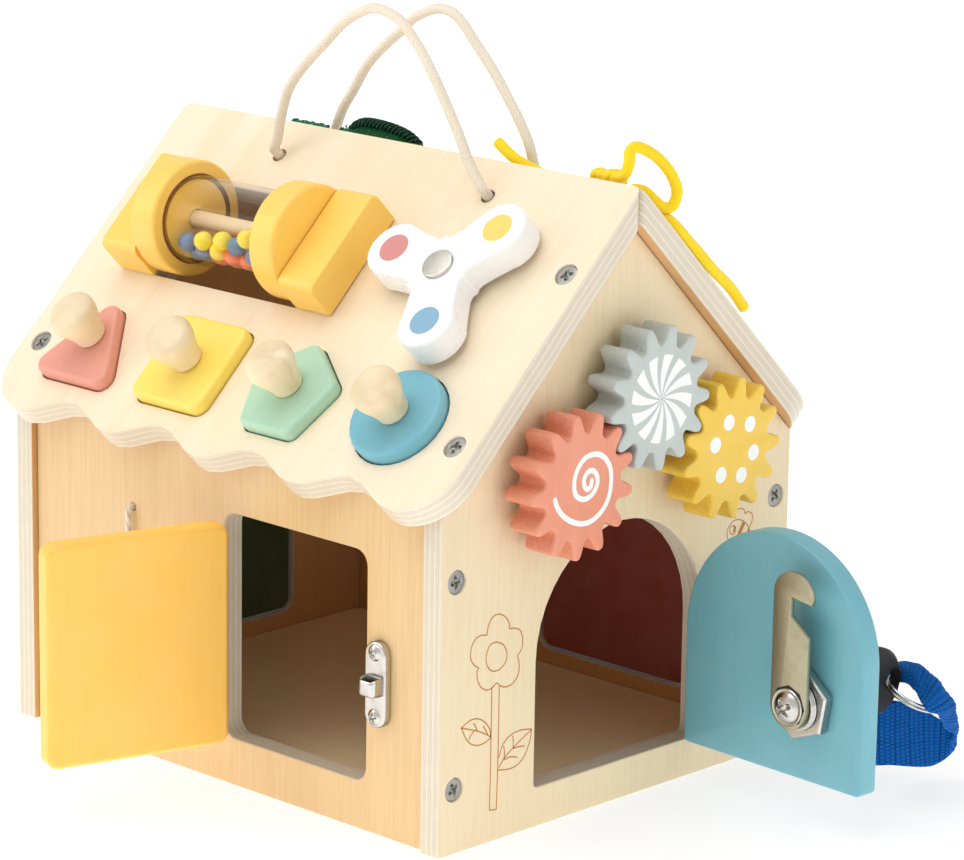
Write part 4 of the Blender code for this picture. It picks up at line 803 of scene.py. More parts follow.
flower = {
    "width": 0.00042,
    "lines": [
        [(-61.4, 68.0), (-60.9, 70.8), (-59.1, 73.2), (-56.3, 73.7), (-53.5, 72.3), (-51.7, 70.0),
         (-51.4, 68.0)],
        [(-51.4, 68.0), (-48.8, 67.6), (-46.4, 66.2), (-45.4, 63.2), (-45.8, 60.3), (-47.6, 58.5)],
        [(-47.6, 58.5), (-46.8, 55.7), (-47.1, 52.4), (-49.2, 50.1), (-51.8, 49.4), (-54.6, 50.0),
         (-56.8, 51.7)],
        [(-56.8, 51.7), (-58.8, 50.5), (-61.4, 50.3), (-64.0, 52.0), (-65.4, 54.7), (-65.6, 57.0),
         (-64.9, 58.2)],
        [(-64.9, 58.2), (-67.3, 59.9), (-68.6, 62.5), (-68.1, 65.7), (-66.4, 67.8), (-64.0, 68.4),
         (-61.4, 68.0)],
        [(-57.1, 64.9), (-54.0, 63.3), (-52.4, 60.2), (-53.1, 57.4), (-55.8, 55.7), (-58.9, 55.9),
         (-61.1, 58.0), (-61.7, 60.8), (-60.6, 63.8), (-59.1, 64.8), (-57.1, 64.9)],
        [(-58.9, 50.5), (-58.9, 37.7), (-58.9, 24.3), (-59.1, 10.6)],
        [(-55.6, 50.3), (-55.6, 37.0), (-55.7, 23.6), (-56.0, 10.2)],
        [(-59.1, 10.6), (-57.5, 10.4), (-56.0, 10.2)],
        [(-59.0, 34.4), (-59.5, 37.0), (-61.6, 39.8), (-64.7, 41.7), (-68.3, 42.0), (-72.2, 40.4)],
        [(-59.0, 34.4), (-62.1, 33.2), (-65.9, 33.4), (-69.4, 35.6), (-72.2, 40.4)],
        [(-72.2, 40.4), (-67.9, 38.9), (-63.4, 37.1), (-59.0, 34.6)],
        [(-66.9, 40.9), (-65.8, 39.3), (-65.2, 37.9)], [(-62.6, 38.9), (-61.4, 37.4), (-60.4, 35.6)],
        [(-68.9, 35.8), (-67.9, 37.1), (-66.4, 38.2)],
        [(-40.6, 33.0), (-45.6, 33.7), (-50.2, 33.1), (-53.6, 30.7), (-55.3, 26.9)],
        [(-40.6, 33.0), (-41.3, 29.2), (-43.8, 24.7), (-47.3, 22.5), (-51.0, 22.2), (-55.4, 22.9)],
        [(-55.2, 23.7), (-52.4, 26.5), (-47.0, 29.7), (-40.7, 32.8)],
        [(-49.1, 32.8), (-48.8, 30.4), (-48.9, 28.5)], [(-43.6, 28.1), (-46.5, 28.5), (-48.9, 28.5)],
        [(-53.2, 30.3), (-52.7, 27.9), (-53.0, 25.8)], [(-46.8, 25.1), (-50.0, 26.0), (-52.8, 25.7)],
    ],
}
bee = {
    "width": 0.00036,
    "lines": [
        [(52.8, 75.4), (51.6, 76.8), (51.0, 78.6), (51.2, 80.4), (52.3, 81.9), (54.1, 82.8), (56.2, 82.8),
         (58.5, 82.1), (60.6, 80.5), (61.8, 78.9), (62.3, 77.1), (61.8, 75.2), (60.4, 73.6), (58.2, 73.0),
         (55.6, 73.4), (52.8, 75.4)],
        [(53.9, 81.3), (54.9, 80.6), (55.2, 79.6), (54.7, 78.6), (53.7, 78.3), (52.6, 79.0), (52.2, 80.1),
         (52.8, 81.0), (53.9, 81.3)],
        [(54.9, 83.6), (54.3, 84.9), (55.0, 86.0), (56.5, 86.3), (57.3, 86.4), (58.6, 86.0), (59.4, 85.1),
         (59.7, 84.2)],
        [(59.7, 84.2), (60.6, 84.6), (61.9, 84.4), (63.1, 83.6), (63.5, 82.4), (63.3, 81.0), (62.7, 79.9),
         (62.0, 79.2)],
        [(50.1, 75.1), (50.8, 75.8), (51.8, 75.9)],
    ],
    "bands": [  # thick stripes: line and half width
        ([(59.3, 81.3), (58.2, 79.7), (57.0, 77.9), (55.9, 76.0), (55.4, 74.6)], 0.00080), ([(62.0, 78.5),
         (61.2, 77.1), (60.4, 75.8), (59.4, 74.3)], 0.00055), ([(54.6, 80.9), (54.5, 79.9),
         (54.1, 79.0)], 0.00042),
    ],
}


def ribbon(path, half, high):  # a flat bar carried along a path in the plane
    path, _ = smoothPath(np.asarray(path, float), 0.00045)
    ahead = unit(np.gradient(path, axis=0))
    across = np.stack([-ahead[:, 1], ahead[:, 0]], -1)
    corners = [(-half, -high), (half, -high), (half, high), (-half, high)]
    return grid(np.stack([np.column_stack([path + w * across, np.full(len(path), h)]) for w, h in corners], 1))


def ribbonPiece(name, strokes, body, paint, where, high=0.00003):
    bars = [ribbon(line, half, high) for line, half in strokes]
    makePiece(name, bars, body, paint, where=where, crisp=30)


def platePiece(name, outlines, body, paint, where, high=0.00003):  # thin printed shapes
    plates = [outlineSlab(outline, -high, high, high * 0.5, 1) for outline in outlines]
    makePiece(name, plates, body, paint, where=where, crisp=30)


burnt = printed("burntLine", paintTones["engraved"], 0.8)
for name, drawing in (("engravedFlower", flower), ("engravedBee", bee)):
    strokes = [(line, drawing["width"] / 2) for line in drawing["lines"]] + drawing.get("bands", [])
    strokes = [(np.array(line) / 1000, half) for line, half in strokes]
    ribbonPiece(name, strokes, "house", burnt, archGable)
print("engraving made")

gears = {
    "teeth": 13, "tip": 0.0232, "root": 0.0171, "thick": 0.0120, "standOff": 0.0030, "edge": 0.0009,
    "spread": 0.0352, "low": 0.1131, "high": 0.1353, "phase": math.radians(21.5),
    # turn within a pitch, rise of the tooth
    "toothShares": ((-0.42, 0.03), (-0.32, 0.20), (-0.20, 0.70), (-0.09, 0.98),
                    (0.09, 0.98), (0.20, 0.70), (0.32, 0.20), (0.42, 0.03)),
}
gearPrints = {  # metres and degrees
    "blades": 12, "bladeRadius": 0.0141, "bladeLead": 87.2, "bladeWide": 17.8, "bladeTwist": 19.0,
    "dotRadius": 0.00264, "spiralHalf": 0.00088,
    "dots": ((-2.6, 9.1), (7.7, 6.9), (9.8, -2.8), (4.2, -9.3), (-5.8, -7.6), (-8.9, 2.7)),  # millimetres
    "spiral": ((-12.9, -1.6), (-11.7, -4.4), (-8.3, -8.0), (-2.9, -10.8), (2.4, -11.5), (7.6, -9.6),
               (11.3, -5.5), (12.4, -0.3), (11.7, 4.6), (8.6, 8.3), (4.7, 9.8), (0.2, 9.2), (-3.1, 6.1),
               (-4.4, 2.2), (-3.6, -1.7), (-0.1, -3.7), (3.6, -3.0), (5.9, -0.4), (6.0, 2.4), (4.1, 4.6),
               (1.5, 4.5), (0.0, 2.4), (0.4, 0.2), (1.9, -0.9), (3.2, 0.0), (3.5, 1.6)),
}


def dotRound(u, v, radius, steps=40):
    return polar(radius, circle(steps)) + [u, v]


def gearOutline(phase):  # each tooth's shares repeated round the gear, then rounded by a smooth curve
    g = gears
    shares = np.array(g["toothShares"])
    angle = (phase + 2 * math.pi / g["teeth"] * (np.arange(g["teeth"])[:, None] + shares[None, :, 0])).ravel()
    return smoothLoop(polar(np.tile(g["root"] + (g["tip"] - g["root"]) * shares[:, 1], g["teeth"]), angle), 4)


def gearPhases():  # a tooth of the middle gear meets a gap of each neighbour
    g = gears
    pitch = 2 * math.pi / g["teeth"]
    phases = [0.0, g["phase"], 0.0]
    for k, side in ((0, -1), (2, 1)):
        line = math.atan2(g["low"] - g["high"], side * g["spread"])
        phases[k] = line + math.pi - pitch * (0.5 - ((line - g["phase"]) / pitch) % 1.0)
    return phases


def bladeShape(index):  # two edges that turn back evenly from the rim to the hub
    p = gearPrints
    share = np.linspace(0.04, 1.0, 14)
    lead = np.radians(p["bladeLead"] - 360.0 / p["blades"] * index + p["bladeTwist"] * (1 - share))
    wide = math.radians(p["bladeWide"]) * np.clip(share / 0.2, 0.6, 1)
    rim = lead[-1] - wide[-1] * np.linspace(0, 1, 8)[1:-1]
    return polar(p["bladeRadius"] * np.concatenate([share, np.ones(6), share[::-1]]),
                 np.concatenate([lead, rim, (lead - wide)[::-1]]))


def makeGears():
    g, p = gears, gearPrints
    ink = printed("gearPrint", tint(244, 245, 243), 0.5)
    spiral, top = np.array(p["spiral"]) / 1000, g["standOff"] + g["thick"]
    for name, across, height, phase in zip(("coral", "grey", "yellow"), (-g["spread"], 0.0, g["spread"]),
                                           (g["low"], g["high"], g["low"]), gearPhases()):
        node, slot = "gear_" + name, "gold" if name == "yellow" else name
        colour = paintTones[slot]
        paint = painted(node + "_paint", colour, mean(colour, white, 0.08), 0.45, (1, 0, 0), 0.28, (1, 0, 0))
        slab = outlineSlab(gearOutline(phase), g["standOff"], top, g["edge"])
        makePiece(node + "_body", [slab], node, paint, node, moved(archGable, across, height), crisp=40)
        face = moved(archGable, across, height, top)
        if name == "coral":
            ribbonPiece("spiralPrint", [(spiral, p["spiralHalf"])], node, ink, face)
            ends = [dotRound(*spiral[end], p["spiralHalf"], 24) for end in (0, -1)]
            platePiece("spiralEnds", ends, node, ink, face, 0.000032)
        elif name == "grey":
            platePiece("swirlPrint", [bladeShape(b) for b in range(p["blades"])], node, ink, face)
        else:
            dots = [dotRound(u / 1000, v / 1000, p["dotRadius"]) for u, v in p["dots"]]
            platePiece("dotPrint", dots, node, ink, face)
        dress("axle_gear_" + name, steelDull, 0.0003)


makeGears()
print("gears made")

spinner = {
    "across": 0.0593, "down": 0.0490, "standOff": 0.0018, "thick": 0.0102, "edge": 0.0011,
    "lobeOut": 0.0218, "lobeRadius": 0.0100, "waist": 0.0121, "turn": math.radians(67.3),
    "disc": 0.0052, "capRadius": 0.0053, "capHigh": 0.0013,
}


def spinnerOutline():  # three round lobes joined by hollow waists, rounded by a smooth curve
    s = spinner
    shape = []
    for arm in s["turn"] + 2 * math.pi * np.arange(3) / 3:
        lobe = arm + np.radians(np.arange(-110, 111, 22))
        shape.append(polar(s["lobeOut"], arm) + polar(s["lobeRadius"], lobe))
        shape.append(polar(s["waist"], arm + np.radians(np.arange(46, 75, 14))))
    return smoothLoop(np.vstack(shape), 6)


def makeSpinner():
    s = spinner
    top = s["standOff"] + s["thick"]
    face = moved(frontRoof, s["across"], s["down"], top)
    makePiece("spinner_body", [outlineSlab(spinnerOutline(), s["standOff"], top, s["edge"], 5)], "spinner",
              plastic("spinnerPlastic", paintTones["white"], 0.3), "spinner",
              moved(frontRoof, s["across"], s["down"]), crisp=40)
    for k, (colour, slot) in enumerate((("blue", "sky"), ("red", "coral"), ("yellow", "gold"))):
        disc = dotRound(*polar(s["lobeOut"], s["turn"] + 2 * math.pi * k / 3), s["disc"], 64)
        ink = printed("disc_" + colour, paintTones[colour], 0.4)
        platePiece("spinnerDisc_" + colour, [disc], "spinner", ink, face)
    # cap: an upright rim, a rounded shoulder and a low dome
    radius, high, rim = s["capRadius"], s["capHigh"], s["capHigh"] * 0.35
    profile = [(0, 0.00002), (radius, 0.00002), (radius, high * 0.55)]
    profile += [(radius - rim * (1 - math.cos(a)), high * 0.55 + rim * math.sin(a))
                for a in np.linspace(0, math.pi / 2, 6)[1:]]
    profile += [(radius * c, high * (0.9 + 0.1 * (1 - (c / 0.86) ** 2))) for c in np.linspace(0.86, 0, 12)]
    capSteel = metal("capSteel", tint(206, 202, 190), 0.22, dirt=0.1)
    makePiece("spinnerCap", [lathe(profile, 72)], "house", capSteel, where=face, crisp=60)
    dress("spinner_bolt", steelDull, 0.0002)


makeSpinner()
print("spinner made")

pegs = {
    "spread": 0.0470, "down": 0.0982, "rise": 0.0044, "base": 0.0055, "high": 0.0150,
    "slots": {"triangle": "coral", "square": "lemon", "pentagon": "sage", "disc": "sky"},
}
knobShares = ((0.0, 0.0), (0.93, 0.0), (0.98, 0.03), (0.99, 0.09), (1.05, 0.20), (1.16, 0.34), (1.29, 0.47),
              (1.40, 0.58), (1.47, 0.68), (1.49, 0.77), (1.46, 0.85), (1.37, 0.91), (1.17, 0.955), (0.88, 0.98),
              (0.5, 0.994), (0.0, 1.0))


def makePegs():
    wood = turnedWood("knobWood", frontNormal, tint(240, 222, 186), tint(216, 188, 144))
    foot = pegs["rise"] + house["air"]
    profile = np.array([(pegs["base"] * r, foot + pegs["high"] * h) for r, h in knobShares])
    profile = np.vstack([profile[:2], smoothPath(profile[2:-1], 0.0004)[0], profile[-1:]])
    for k, (name, slot) in enumerate(pegs["slots"].items()):
        makePiece("knob_%s_turned" % name, [lathe(profile, 64)], "peg_" + name, wood,
                  "knob_" + name, moved(frontRoof, (k - 1.5) * pegs["spread"], pegs["down"]), crisp=60)
        colour = paintTones[name]
        paint = painted("peg_" + name + "_paint", colour, mean(colour, white, 0.10), 0.4, frontNormal)
        dress("peg_" + name, paint, 0.0005, 3)


makePegs()
print("pegs made")

drum = {
    "across": -0.0324, "down": 0.0490, "rise": 0.0083, "length": 0.0682, "cap": 0.0194, "capThick": 0.0110,
    "edge": 0.0012, "tube": 0.0147, "wall": 0.0012, "inset": 0.0030, "dowel": 0.0029, "seam": 0.00042,
    "bead": 0.0032, "beads": 24, "seed": 7, "beadAir": 0.0002, "beadSteps": 900, "beadStep": 0.00012,
}


def alongDrum(p):  # across the axis down the slope, out of the slope, along the axis
    return frontRoof(np.array([drum["across"], drum["down"], drum["rise"]]) + p[..., [2, 0, 1]])


def settledBeads(half):
    # balls pushed apart and out of the wall and the axle while they are pulled down, until they rest
    d = drum
    random = np.random.default_rng(d["seed"])
    spots = np.stack([random.uniform(-0.008, 0.008, d["beads"]), random.uniform(-0.008, 0.002, d["beads"]),
                      random.uniform(-half, half, d["beads"])], -1)
    down = np.array([slopeSin, -slopeCos, 0.0])  # straight down, in the drum's own directions
    ball = d["bead"] + d["beadAir"]
    for step in range(d["beadSteps"]):
        spots += down * d["beadStep"] * (1 - step / d["beadSteps"]) + 0.00001
        apart = spots[:, None] - spots[None]
        gap = np.linalg.norm(apart, axis=-1) + np.eye(len(spots))
        push = np.clip(2 * d["bead"] * 1.01 - gap, 0, None) * (gap < 0.9)
        spots += 0.5 * (push[..., None] * apart / gap[..., None]).sum(1)
        off = np.maximum(np.linalg.norm(spots[:, :2], axis=1, keepdims=True), 1e-6)
        spots[:, :2] *= np.clip(off, d["dowel"] + ball, d["tube"] - d["wall"] - ball) / off
        spots[:, 2] = np.clip(spots[:, 2], ball - half, half - ball)
    return spots


def makeDrum():
    d, air = drum, house["air"]
    drumPaint = painted("drumPaint", paintTones["drum"], tint(255, 208, 106), 0.36, (1, 0, 0))
    outer = d["length"] / 2 - air
    inner = outer - d["capThick"]
    angle, turn = np.linspace(0, math.pi / 2, 6), circle(160)
    # cap: a ring with rounded rims and a groove for the tube; the glue seam there is dark and a little ragged
    cap, edge, bore, groove = d["cap"], d["edge"], d["dowel"] + air, inner + d["inset"]
    grooveOut, grooveIn = d["tube"] + air, d["tube"] - d["wall"] - air
    profile = [(bore, outer)]
    profile += [(cap - edge * (1 - math.sin(a)), outer - edge * (1 - math.cos(a))) for a in angle]
    profile += [(cap - edge * (1 - math.cos(a)), inner + edge * (1 - math.sin(a))) for a in angle]
    profile += [(grooveOut, inner), (grooveOut, groove), (grooveIn, groove), (grooveIn, inner), (bore, inner)]
    ragged = d["seam"] + 0.00022 * np.sin(9 * turn + 1) * np.sin(23 * turn) + 0.00012 * np.sin(41 * turn)
    seam = ((0.00005, inner - ragged), (0.0004, inner - 0.00002), (-0.0004, inner - 0.00002))
    for name, side in (("left", -1), ("right", 1)):
        turned = latheLoop([(r, side * h) for r, h in profile], 96)
        makePiece("drum_cap_%s_round" % name, [turned], "drum", drumPaint, "drum_cap_" + name,
                  alongDrum, crisp=35)
        dress("drum_block_" + name, drumPaint, 0.0007, 3)
        rings = np.stack([polar(d["tube"] + out, turn, side * high) for out, high in seam])
        makePiece("glueSeam_" + name, [grid(rings, True)], "drum",
                  plastic("seamGlue_" + name, tint(128, 62, 34), 0.35), where=alongDrum)
    reach, hollow = groove - air, d["tube"] - d["wall"]
    tubeRing = latheLoop([(d["tube"], -reach), (d["tube"], reach), (hollow, reach), (hollow, -reach)], 128)
    makePiece("drum_tube_clear", [tubeRing], "drum", clearTube("clearTube"), "drum_tube", alongDrum,
              crisp=40)
    dowelWood = turnedWood("dowelWood", (1, 0, 0), tint(238, 212, 168), tint(208, 172, 120))
    dress("drum_axle", dowelWood, 0.0003)
    arc = np.linspace(-math.pi / 2, math.pi / 2, 14)
    profile = polar(d["bead"], arc)
    profile[[0, -1], 0] = 0.0
    points, quads, _ = lathe(profile, 22)
    spots = settledBeads(inner)
    for k, (colour, slot) in enumerate((("beadOrange", "coral"), ("beadBlue", "sky"), ("beadYellow", "lemon"))):
        makePiece("beads_" + colour, [(points + spot, quads, []) for spot in spots[k::3]], "house",
                  painted(colour, paintTones[colour], None, 0.3, (1, 0, 0)), where=alongDrum)


makeDrum()
print("bead drum made")

archDoor = {"half": 0.0380, "centre": 0.0390, "low": 0.0141, "high": 0.0921, "corner": 0.0016, "edge": 0.0008,
            "hole": 0.0086}
lock = {"along": 0.0539, "height": 0.0404, "radius": 0.0082, "screwAt": 0.0198,
        "threadFrom": 0.0149, "threadTo": 0.0169, "pitch": 0.0008, "ridge": 0.00034, "runOut": 0.0002}
keySpace = moved(doors["arch"], lock["along"], lock["height"])  # along the door, up, into the house


def archOutline(d):  # straight sides under a half circle, with two small round corners below
    corner = [d["half"] - d["corner"], d["low"] + d["corner"]]
    right = polar(d["corner"], np.radians(np.arange(-90, 1, 15))) + corner
    top = polar(d["half"], np.linspace(0, math.pi, 97)) + [0, d["high"] - d["half"]]
    return np.vstack([right, top, (right * [-1, 1])[::-1]]) + [d["centre"], 0]


def boredSlab(outline, low, high, edge, centre, radius=None, slot=None):
    # a slab with a round hole or a slot: each point of the outline looks at its middle and meets its rim there
    points, quads, _ = outlineSlab(outline, low, high, edge)
    count = len(outline)
    way = unit(outline - centre)
    reach = radius or np.min(np.array(slot) / np.maximum(abs(way), 1e-9), axis=1, keepdims=True)
    rings = [np.column_stack([centre + reach * way, np.full(count, level)]) for level in (high, low)]
    rows = len(points) // count
    every = gridQuads(rows + 2, count, True).reshape(rows + 2, count, 4)
    flat = np.vstack([every[rows - 1], every[rows + 1]])
    return np.vstack([points] + rings), np.vstack([quads, every[rows]]), flat.tolist()


for node, tone, slot in (("front_door", "frontDoor", "door_yellow"), ("arch_door", "archDoor", "teal"),
                         ("side_door", "sideDoor", "dark_green"), ("back_door", "backDoor", "maroon")):
    colour = paintTones[tone]
    paint = painted(node + "_paint", colour, mean(colour, white, 0.07), 0.4)
    if node == "arch_door":
        panel = boredSlab(archOutline(archDoor), doorIn, doorOut, archDoor["edge"],
                          np.array([lock["along"], lock["height"]]), archDoor["hole"])
        makePiece("arch_door_panel", [panel], node, paint, node, doors["arch"], crisp=40)
    else:
        dress(node, paint, 0.0005, 3)

hingeSteel = metal("hingeSteel", tint(198, 197, 193), 0.28, brushed=((1, 0, 0), (0, 0, 1), (0, 1, 0)), dirt=0.3)
zinc = metal("zinc", tint(176, 171, 146), 0.42, dirt=0.35)
for name in hinges:
    for part in ("fixed", "moving"):
        dress("%s_hinge_%s" % (name, part), hingeSteel, 0.0002, limit=50)
for node, paint, slot in (("latch_plate", steelDull, "steel"), ("latch_bar", steelDull, "steel"),
                          ("lock_body", steelBright, "chrome"), ("lock_nut", steelBright, "chrome"),
                          ("key_blade", steelDull, "steel"), ("bolt_plate", steelDull, "steel"),
                          ("bolt_rod", steelBright, "steel"), ("bolt_keeper", steelDull, "steel")):
    dress(node, paint, 0.00025)
dress("key_bow", plastic("bowPlastic", tint(8, 7, 7), 0.6), 0.0003, 3)
buttonWood = turnedWood("buttonWood", (0, 0, 1), tint(243, 222, 182), tint(214, 182, 134))
dress("side_button", buttonWood)
print("doors and metal dressed")

leafScrews = {  # on the hinge leaves: along the leaf, out of it, heights, and each lower end
    "along": 0.0070, "out": 0.0012, "heights": (0.0070, 0.0250, 0.0430),
    "low": {"front": 0.02845, "arch": 0.0156, "side": 0.0265, "back": 0.0262},
}
keeper = {
    "across": 0.0721, "height": 0.0500, "halfWidth": 0.00455, "halfHeight": 0.0140, "thick": 0.0027,
    "edge": 0.0007, "screwAway": 0.0104, "dish": 0.0009, "dishRadius": 0.0042, "dishUp": 0.0006, "dishRim": 0.0006,
    "hookHalf": 0.0035, "hookHeight": 0.0508, "hookOut": 0.0071, "hookSunk": 0.0005, "round": 0.0019,
    "dip": 0.0013,
}
hookRings = ((1.3, -4.0), (0.6, -3.8), (0.2, -3.4), (0.0, -2.8), (0.0, 1.7), (0.1, 2.1), (0.4, 2.3), (0.7, 2.1),
             (0.8, 1.7), (0.8, -2.4))  # millimetres: drawn in, and up
button = (0.0470, 0.0515, 0.0048)  # the turn button's screw: depth, height, out


def facing(place, along, height, depth):  # third local direction out of the door's outer face
    return lambda p: place(np.array([along, height, depth]) + p * [1, 1, -1])


def hingeScrews(name, part):
    place, side = (closed[name], -1) if part == "fixed" else (doors[name], 1)
    return [(facing(place, side * leafScrews["along"], leafScrews["low"][name] + rise, leafScrews["out"]),
             screwSizes["hinge"], 0.0004, 0.0006, turns[(3 * k + len(name) + len(part)) % 16])
            for k, rise in enumerate(leafScrews["heights"])]


def makeKeeper():
    # a stadium whose rings shrink to its middle line: rim rounded, a shallow dish behind the hook
    k = keeper
    reach = k["halfHeight"] - k["halfWidth"]
    outline = np.vstack([polar(k["halfWidth"], np.radians(np.arange(0, 181, 6)) + start) + [0, side * reach]
                         for side, start in ((1, 0), (-1, math.pi))])
    middle = np.stack([0 * outline[:, 0], np.clip(outline[:, 1], -reach, reach)], -1)
    share = np.concatenate([[1.0], np.linspace(1.0, 0.0, 26)])[:, None, None]
    rings = middle + share * (outline - middle)
    inward = (1 - share[..., 0]) * k["halfWidth"]
    curve = np.clip(1 - inward / k["edge"], 0, 1)
    away = np.hypot(rings[..., 0] / 0.9, rings[..., 1] - k["dishUp"]) / k["dishRadius"]
    dish = k["dish"] * np.clip(1 - away ** 2, 0, 1) ** 0.6 * np.clip((inward - k["edge"]) / k["dishRim"], 0, 1)
    level = k["thick"] - k["edge"] * (1 - np.sqrt(1 - curve ** 2)) - dish
    level[0] = house["air"]
    points, quads, caps = grid(np.concatenate([rings + [k["across"], k["height"]], level[..., None]], -1))
    plate = (points, quads, caps[:1])
    # hook: a pocket open above, from rings of a rounded outline; its lip dips away from the plate
    turn = np.radians(np.arange(0, 91, 9))
    foot = (k["hookHalf"], k["thick"] - k["hookSunk"])
    right = np.array([k["hookHalf"], k["hookOut"]]) - k["round"] * (1 - polar(1.0, turn))
    outline = np.vstack([[foot], right, right[::-1] * [-1, 1], [(-foot[0], foot[1])]])
    points, quads, caps = raised(outline, *(np.array(hookRings).T / 1000))
    dip = k["dip"] * ((points[:, 1] - k["thick"]) / (k["hookOut"] - k["thick"])) ** 2 * (points[:, 2] > 0.001)
    hook = np.stack([k["across"] + points[:, 0], k["hookHeight"] + points[:, 2] - dip, points[:, 1]], -1)
    makePiece("latch_keeper_plate", [plate, (hook, quads, caps)], "house", steelBright, "latch_keeper",
              onWall(-1), crisp=35)


cam = {"half": 0.0074, "notchFrom": 0.0240, "notchIn": -0.0001, "notchLow": 0.0296, "notchHigh": 0.0359,
       "low": 0.0174, "thick": 0.0020, "plugRadius": 0.0050, "edge": 0.0003, "keyway": (0.0012, 0.0034),
       "gap": 0.0068, "washer": 0.0062}
# millimetres beside and above the lock's axis
camHook = ((8.2, 34.6), (8.7, 36.2), (8.2, 38.6), (6.6, 41.0), (4.2, 43.0), (1.2, 44.0), (-1.8, 43.7),
           (-4.6, 42.2), (-6.6, 39.8), (-7.4, 37.0))


def makeCam():
    # cam plate: round foot, straight sides, slanting notch, hook rounded by a smooth curve; plug with a keyway
    c, top = cam, cam["low"] + cam["thick"]
    foot = polar(c["half"], np.radians(np.arange(180, 361, 5)))
    notch = [(c["half"], c["notchFrom"]), (c["notchIn"], c["notchLow"]), (c["notchIn"], c["notchHigh"])]
    hook, _ = smoothPath(np.array(camHook) / 1000, 0.0005)
    plate = outlineSlab(np.vstack([foot, notch, hook]), c["low"], top, c["edge"], 2)
    plug = boredSlab(polar(c["plugRadius"], circle(96)), 0.0, c["low"] + c["thick"] / 2, c["edge"], np.zeros(2),
                     slot=c["keyway"])
    makePiece("lock_cam_plate", [plate, plug], "cam", zinc, "lock_plug_cam", keySpace, crisp=35)
    # painted shade: a thin dark sheet, partly under the screw, for the dark edge of the square hole beside it; and
    # the screw's washer
    gap = outlineSlab(dotRound(0.0003, 0.0005, c["gap"], 8), top, top + 0.00006, 0.00001, 1)
    camDark = plastic("camDark", tint(24, 30, 30), 0.6)
    makePiece("camGap", [gap], "cam", camDark, where=keySpace, crisp=35)
    washer = [(0.0, 0.0), (c["washer"], 0.0), (c["washer"], 0.0003), (c["washer"] - 0.0003, 0.0006),
              (c["washer"] - 0.0008, 0.0005), (0.0, 0.0005)]
    makePiece("camWasher", [lathe(washer, 64)], "cam", steelBright, where=moved(keySpace, 0, 0, top),
              crisp=50)


makeKeeper()
makeCam()
keeperSpots = []
for turn, side in ((turns[4], -1), (turns[5], 1)):
    height = keeper["height"] + side * keeper["screwAway"]
    keeperSpots.append((moved(onWall(-1), keeper["across"], height, keeper["thick"]), screwSizes["plate"],
                        0.0011, 0.0012, turn))
buttonSpot = (moved(onGable(-1), *button), screwSizes["button"], 0.0006, 0.0020, 0.9)
screwGroup("houseSmallScrews", "house", steelBright,
           sum([hingeScrews(name, "fixed") for name in hinges], []) + keeperSpots + [buttonSpot])
for name in hinges:
    screwGroup("doorHingeScrews_" + name, name + "_door", steelBright, hingeScrews(name, "moving"))
screwGroup("camScrew", "cam", steelBright,
           [(moved(keySpace, 0, 0, lock["screwAt"]), screwSizes["cam"], 0.0022, 0.0004, 0.5)])
print("small screws made")


def makeThread():
    # ridges whose phase climbs one pitch a turn, on the barrel between nut and cam
    turn = circle(72)[None, :]
    height = np.linspace(lock["threadFrom"], lock["threadTo"], 40)[:, None]
    phase = 2 * math.pi * height / lock["pitch"] - turn
    fade = np.clip(np.minimum(height - lock["threadFrom"], lock["threadTo"] - height) / lock["runOut"], 0, 1)
    radius = lock["radius"] - 0.0001 + fade * lock["ridge"] * (0.5 + 0.5 * np.cos(phase)) ** 0.8
    outer, inner = polar(radius, turn, height), polar(lock["radius"] - 0.0005, turn, height[::-1])
    makePiece("lockThread", [grid(np.concatenate([outer, inner]), True)], "arch_door", steelBright,
              where=keySpace)


ring = {"radius": 0.0096, "wire": 0.00055, "spread": 0.00062, "turns": 1.93, "near": (0.529, -0.071, 0.845),
        "away": (0.764, -0.394, -0.512), "hole": -0.0287, "sink": 0.0009, "start": 2.2}


def makeRing():
    # flat spring wire wound almost twice; the two turns lie side by side and step across once
    near, away = np.array(ring["near"]), np.array(ring["away"])
    middle = np.array([0, -ring["sink"], ring["hole"]]) + away * ring["radius"]
    turn = np.linspace(0, 2 * math.pi * ring["turns"], 300)[:, None]
    step = np.clip((turn / (2 * math.pi) - 0.90) / 0.12, 0, 1)
    side = ring["spread"] * (2 * (3 * step ** 2 - 2 * step ** 3) - 1)
    line = turn + ring["start"]
    curve = middle + ring["radius"] * (np.cos(line) * near + np.sin(line) * away) + side * np.cross(near, away)
    ringSteel = metal("ringSteel", tint(206, 205, 200), 0.18, dirt=0.15)
    makePiece("splitRing_wire", [tube(curve, ring["wire"], circle(14))], "key", ringSteel, "split_ring",
              keySpace, crisp=60)


strap = {"width": 0.0205, "thick": 0.0016, "rib": 0.0020, "cross": 0.0014, "depth": 0.00042, "crumple": 0.0006,
         "crumpledAt": 0.0025, "rows": 400, "across": 100, "rim": 6}
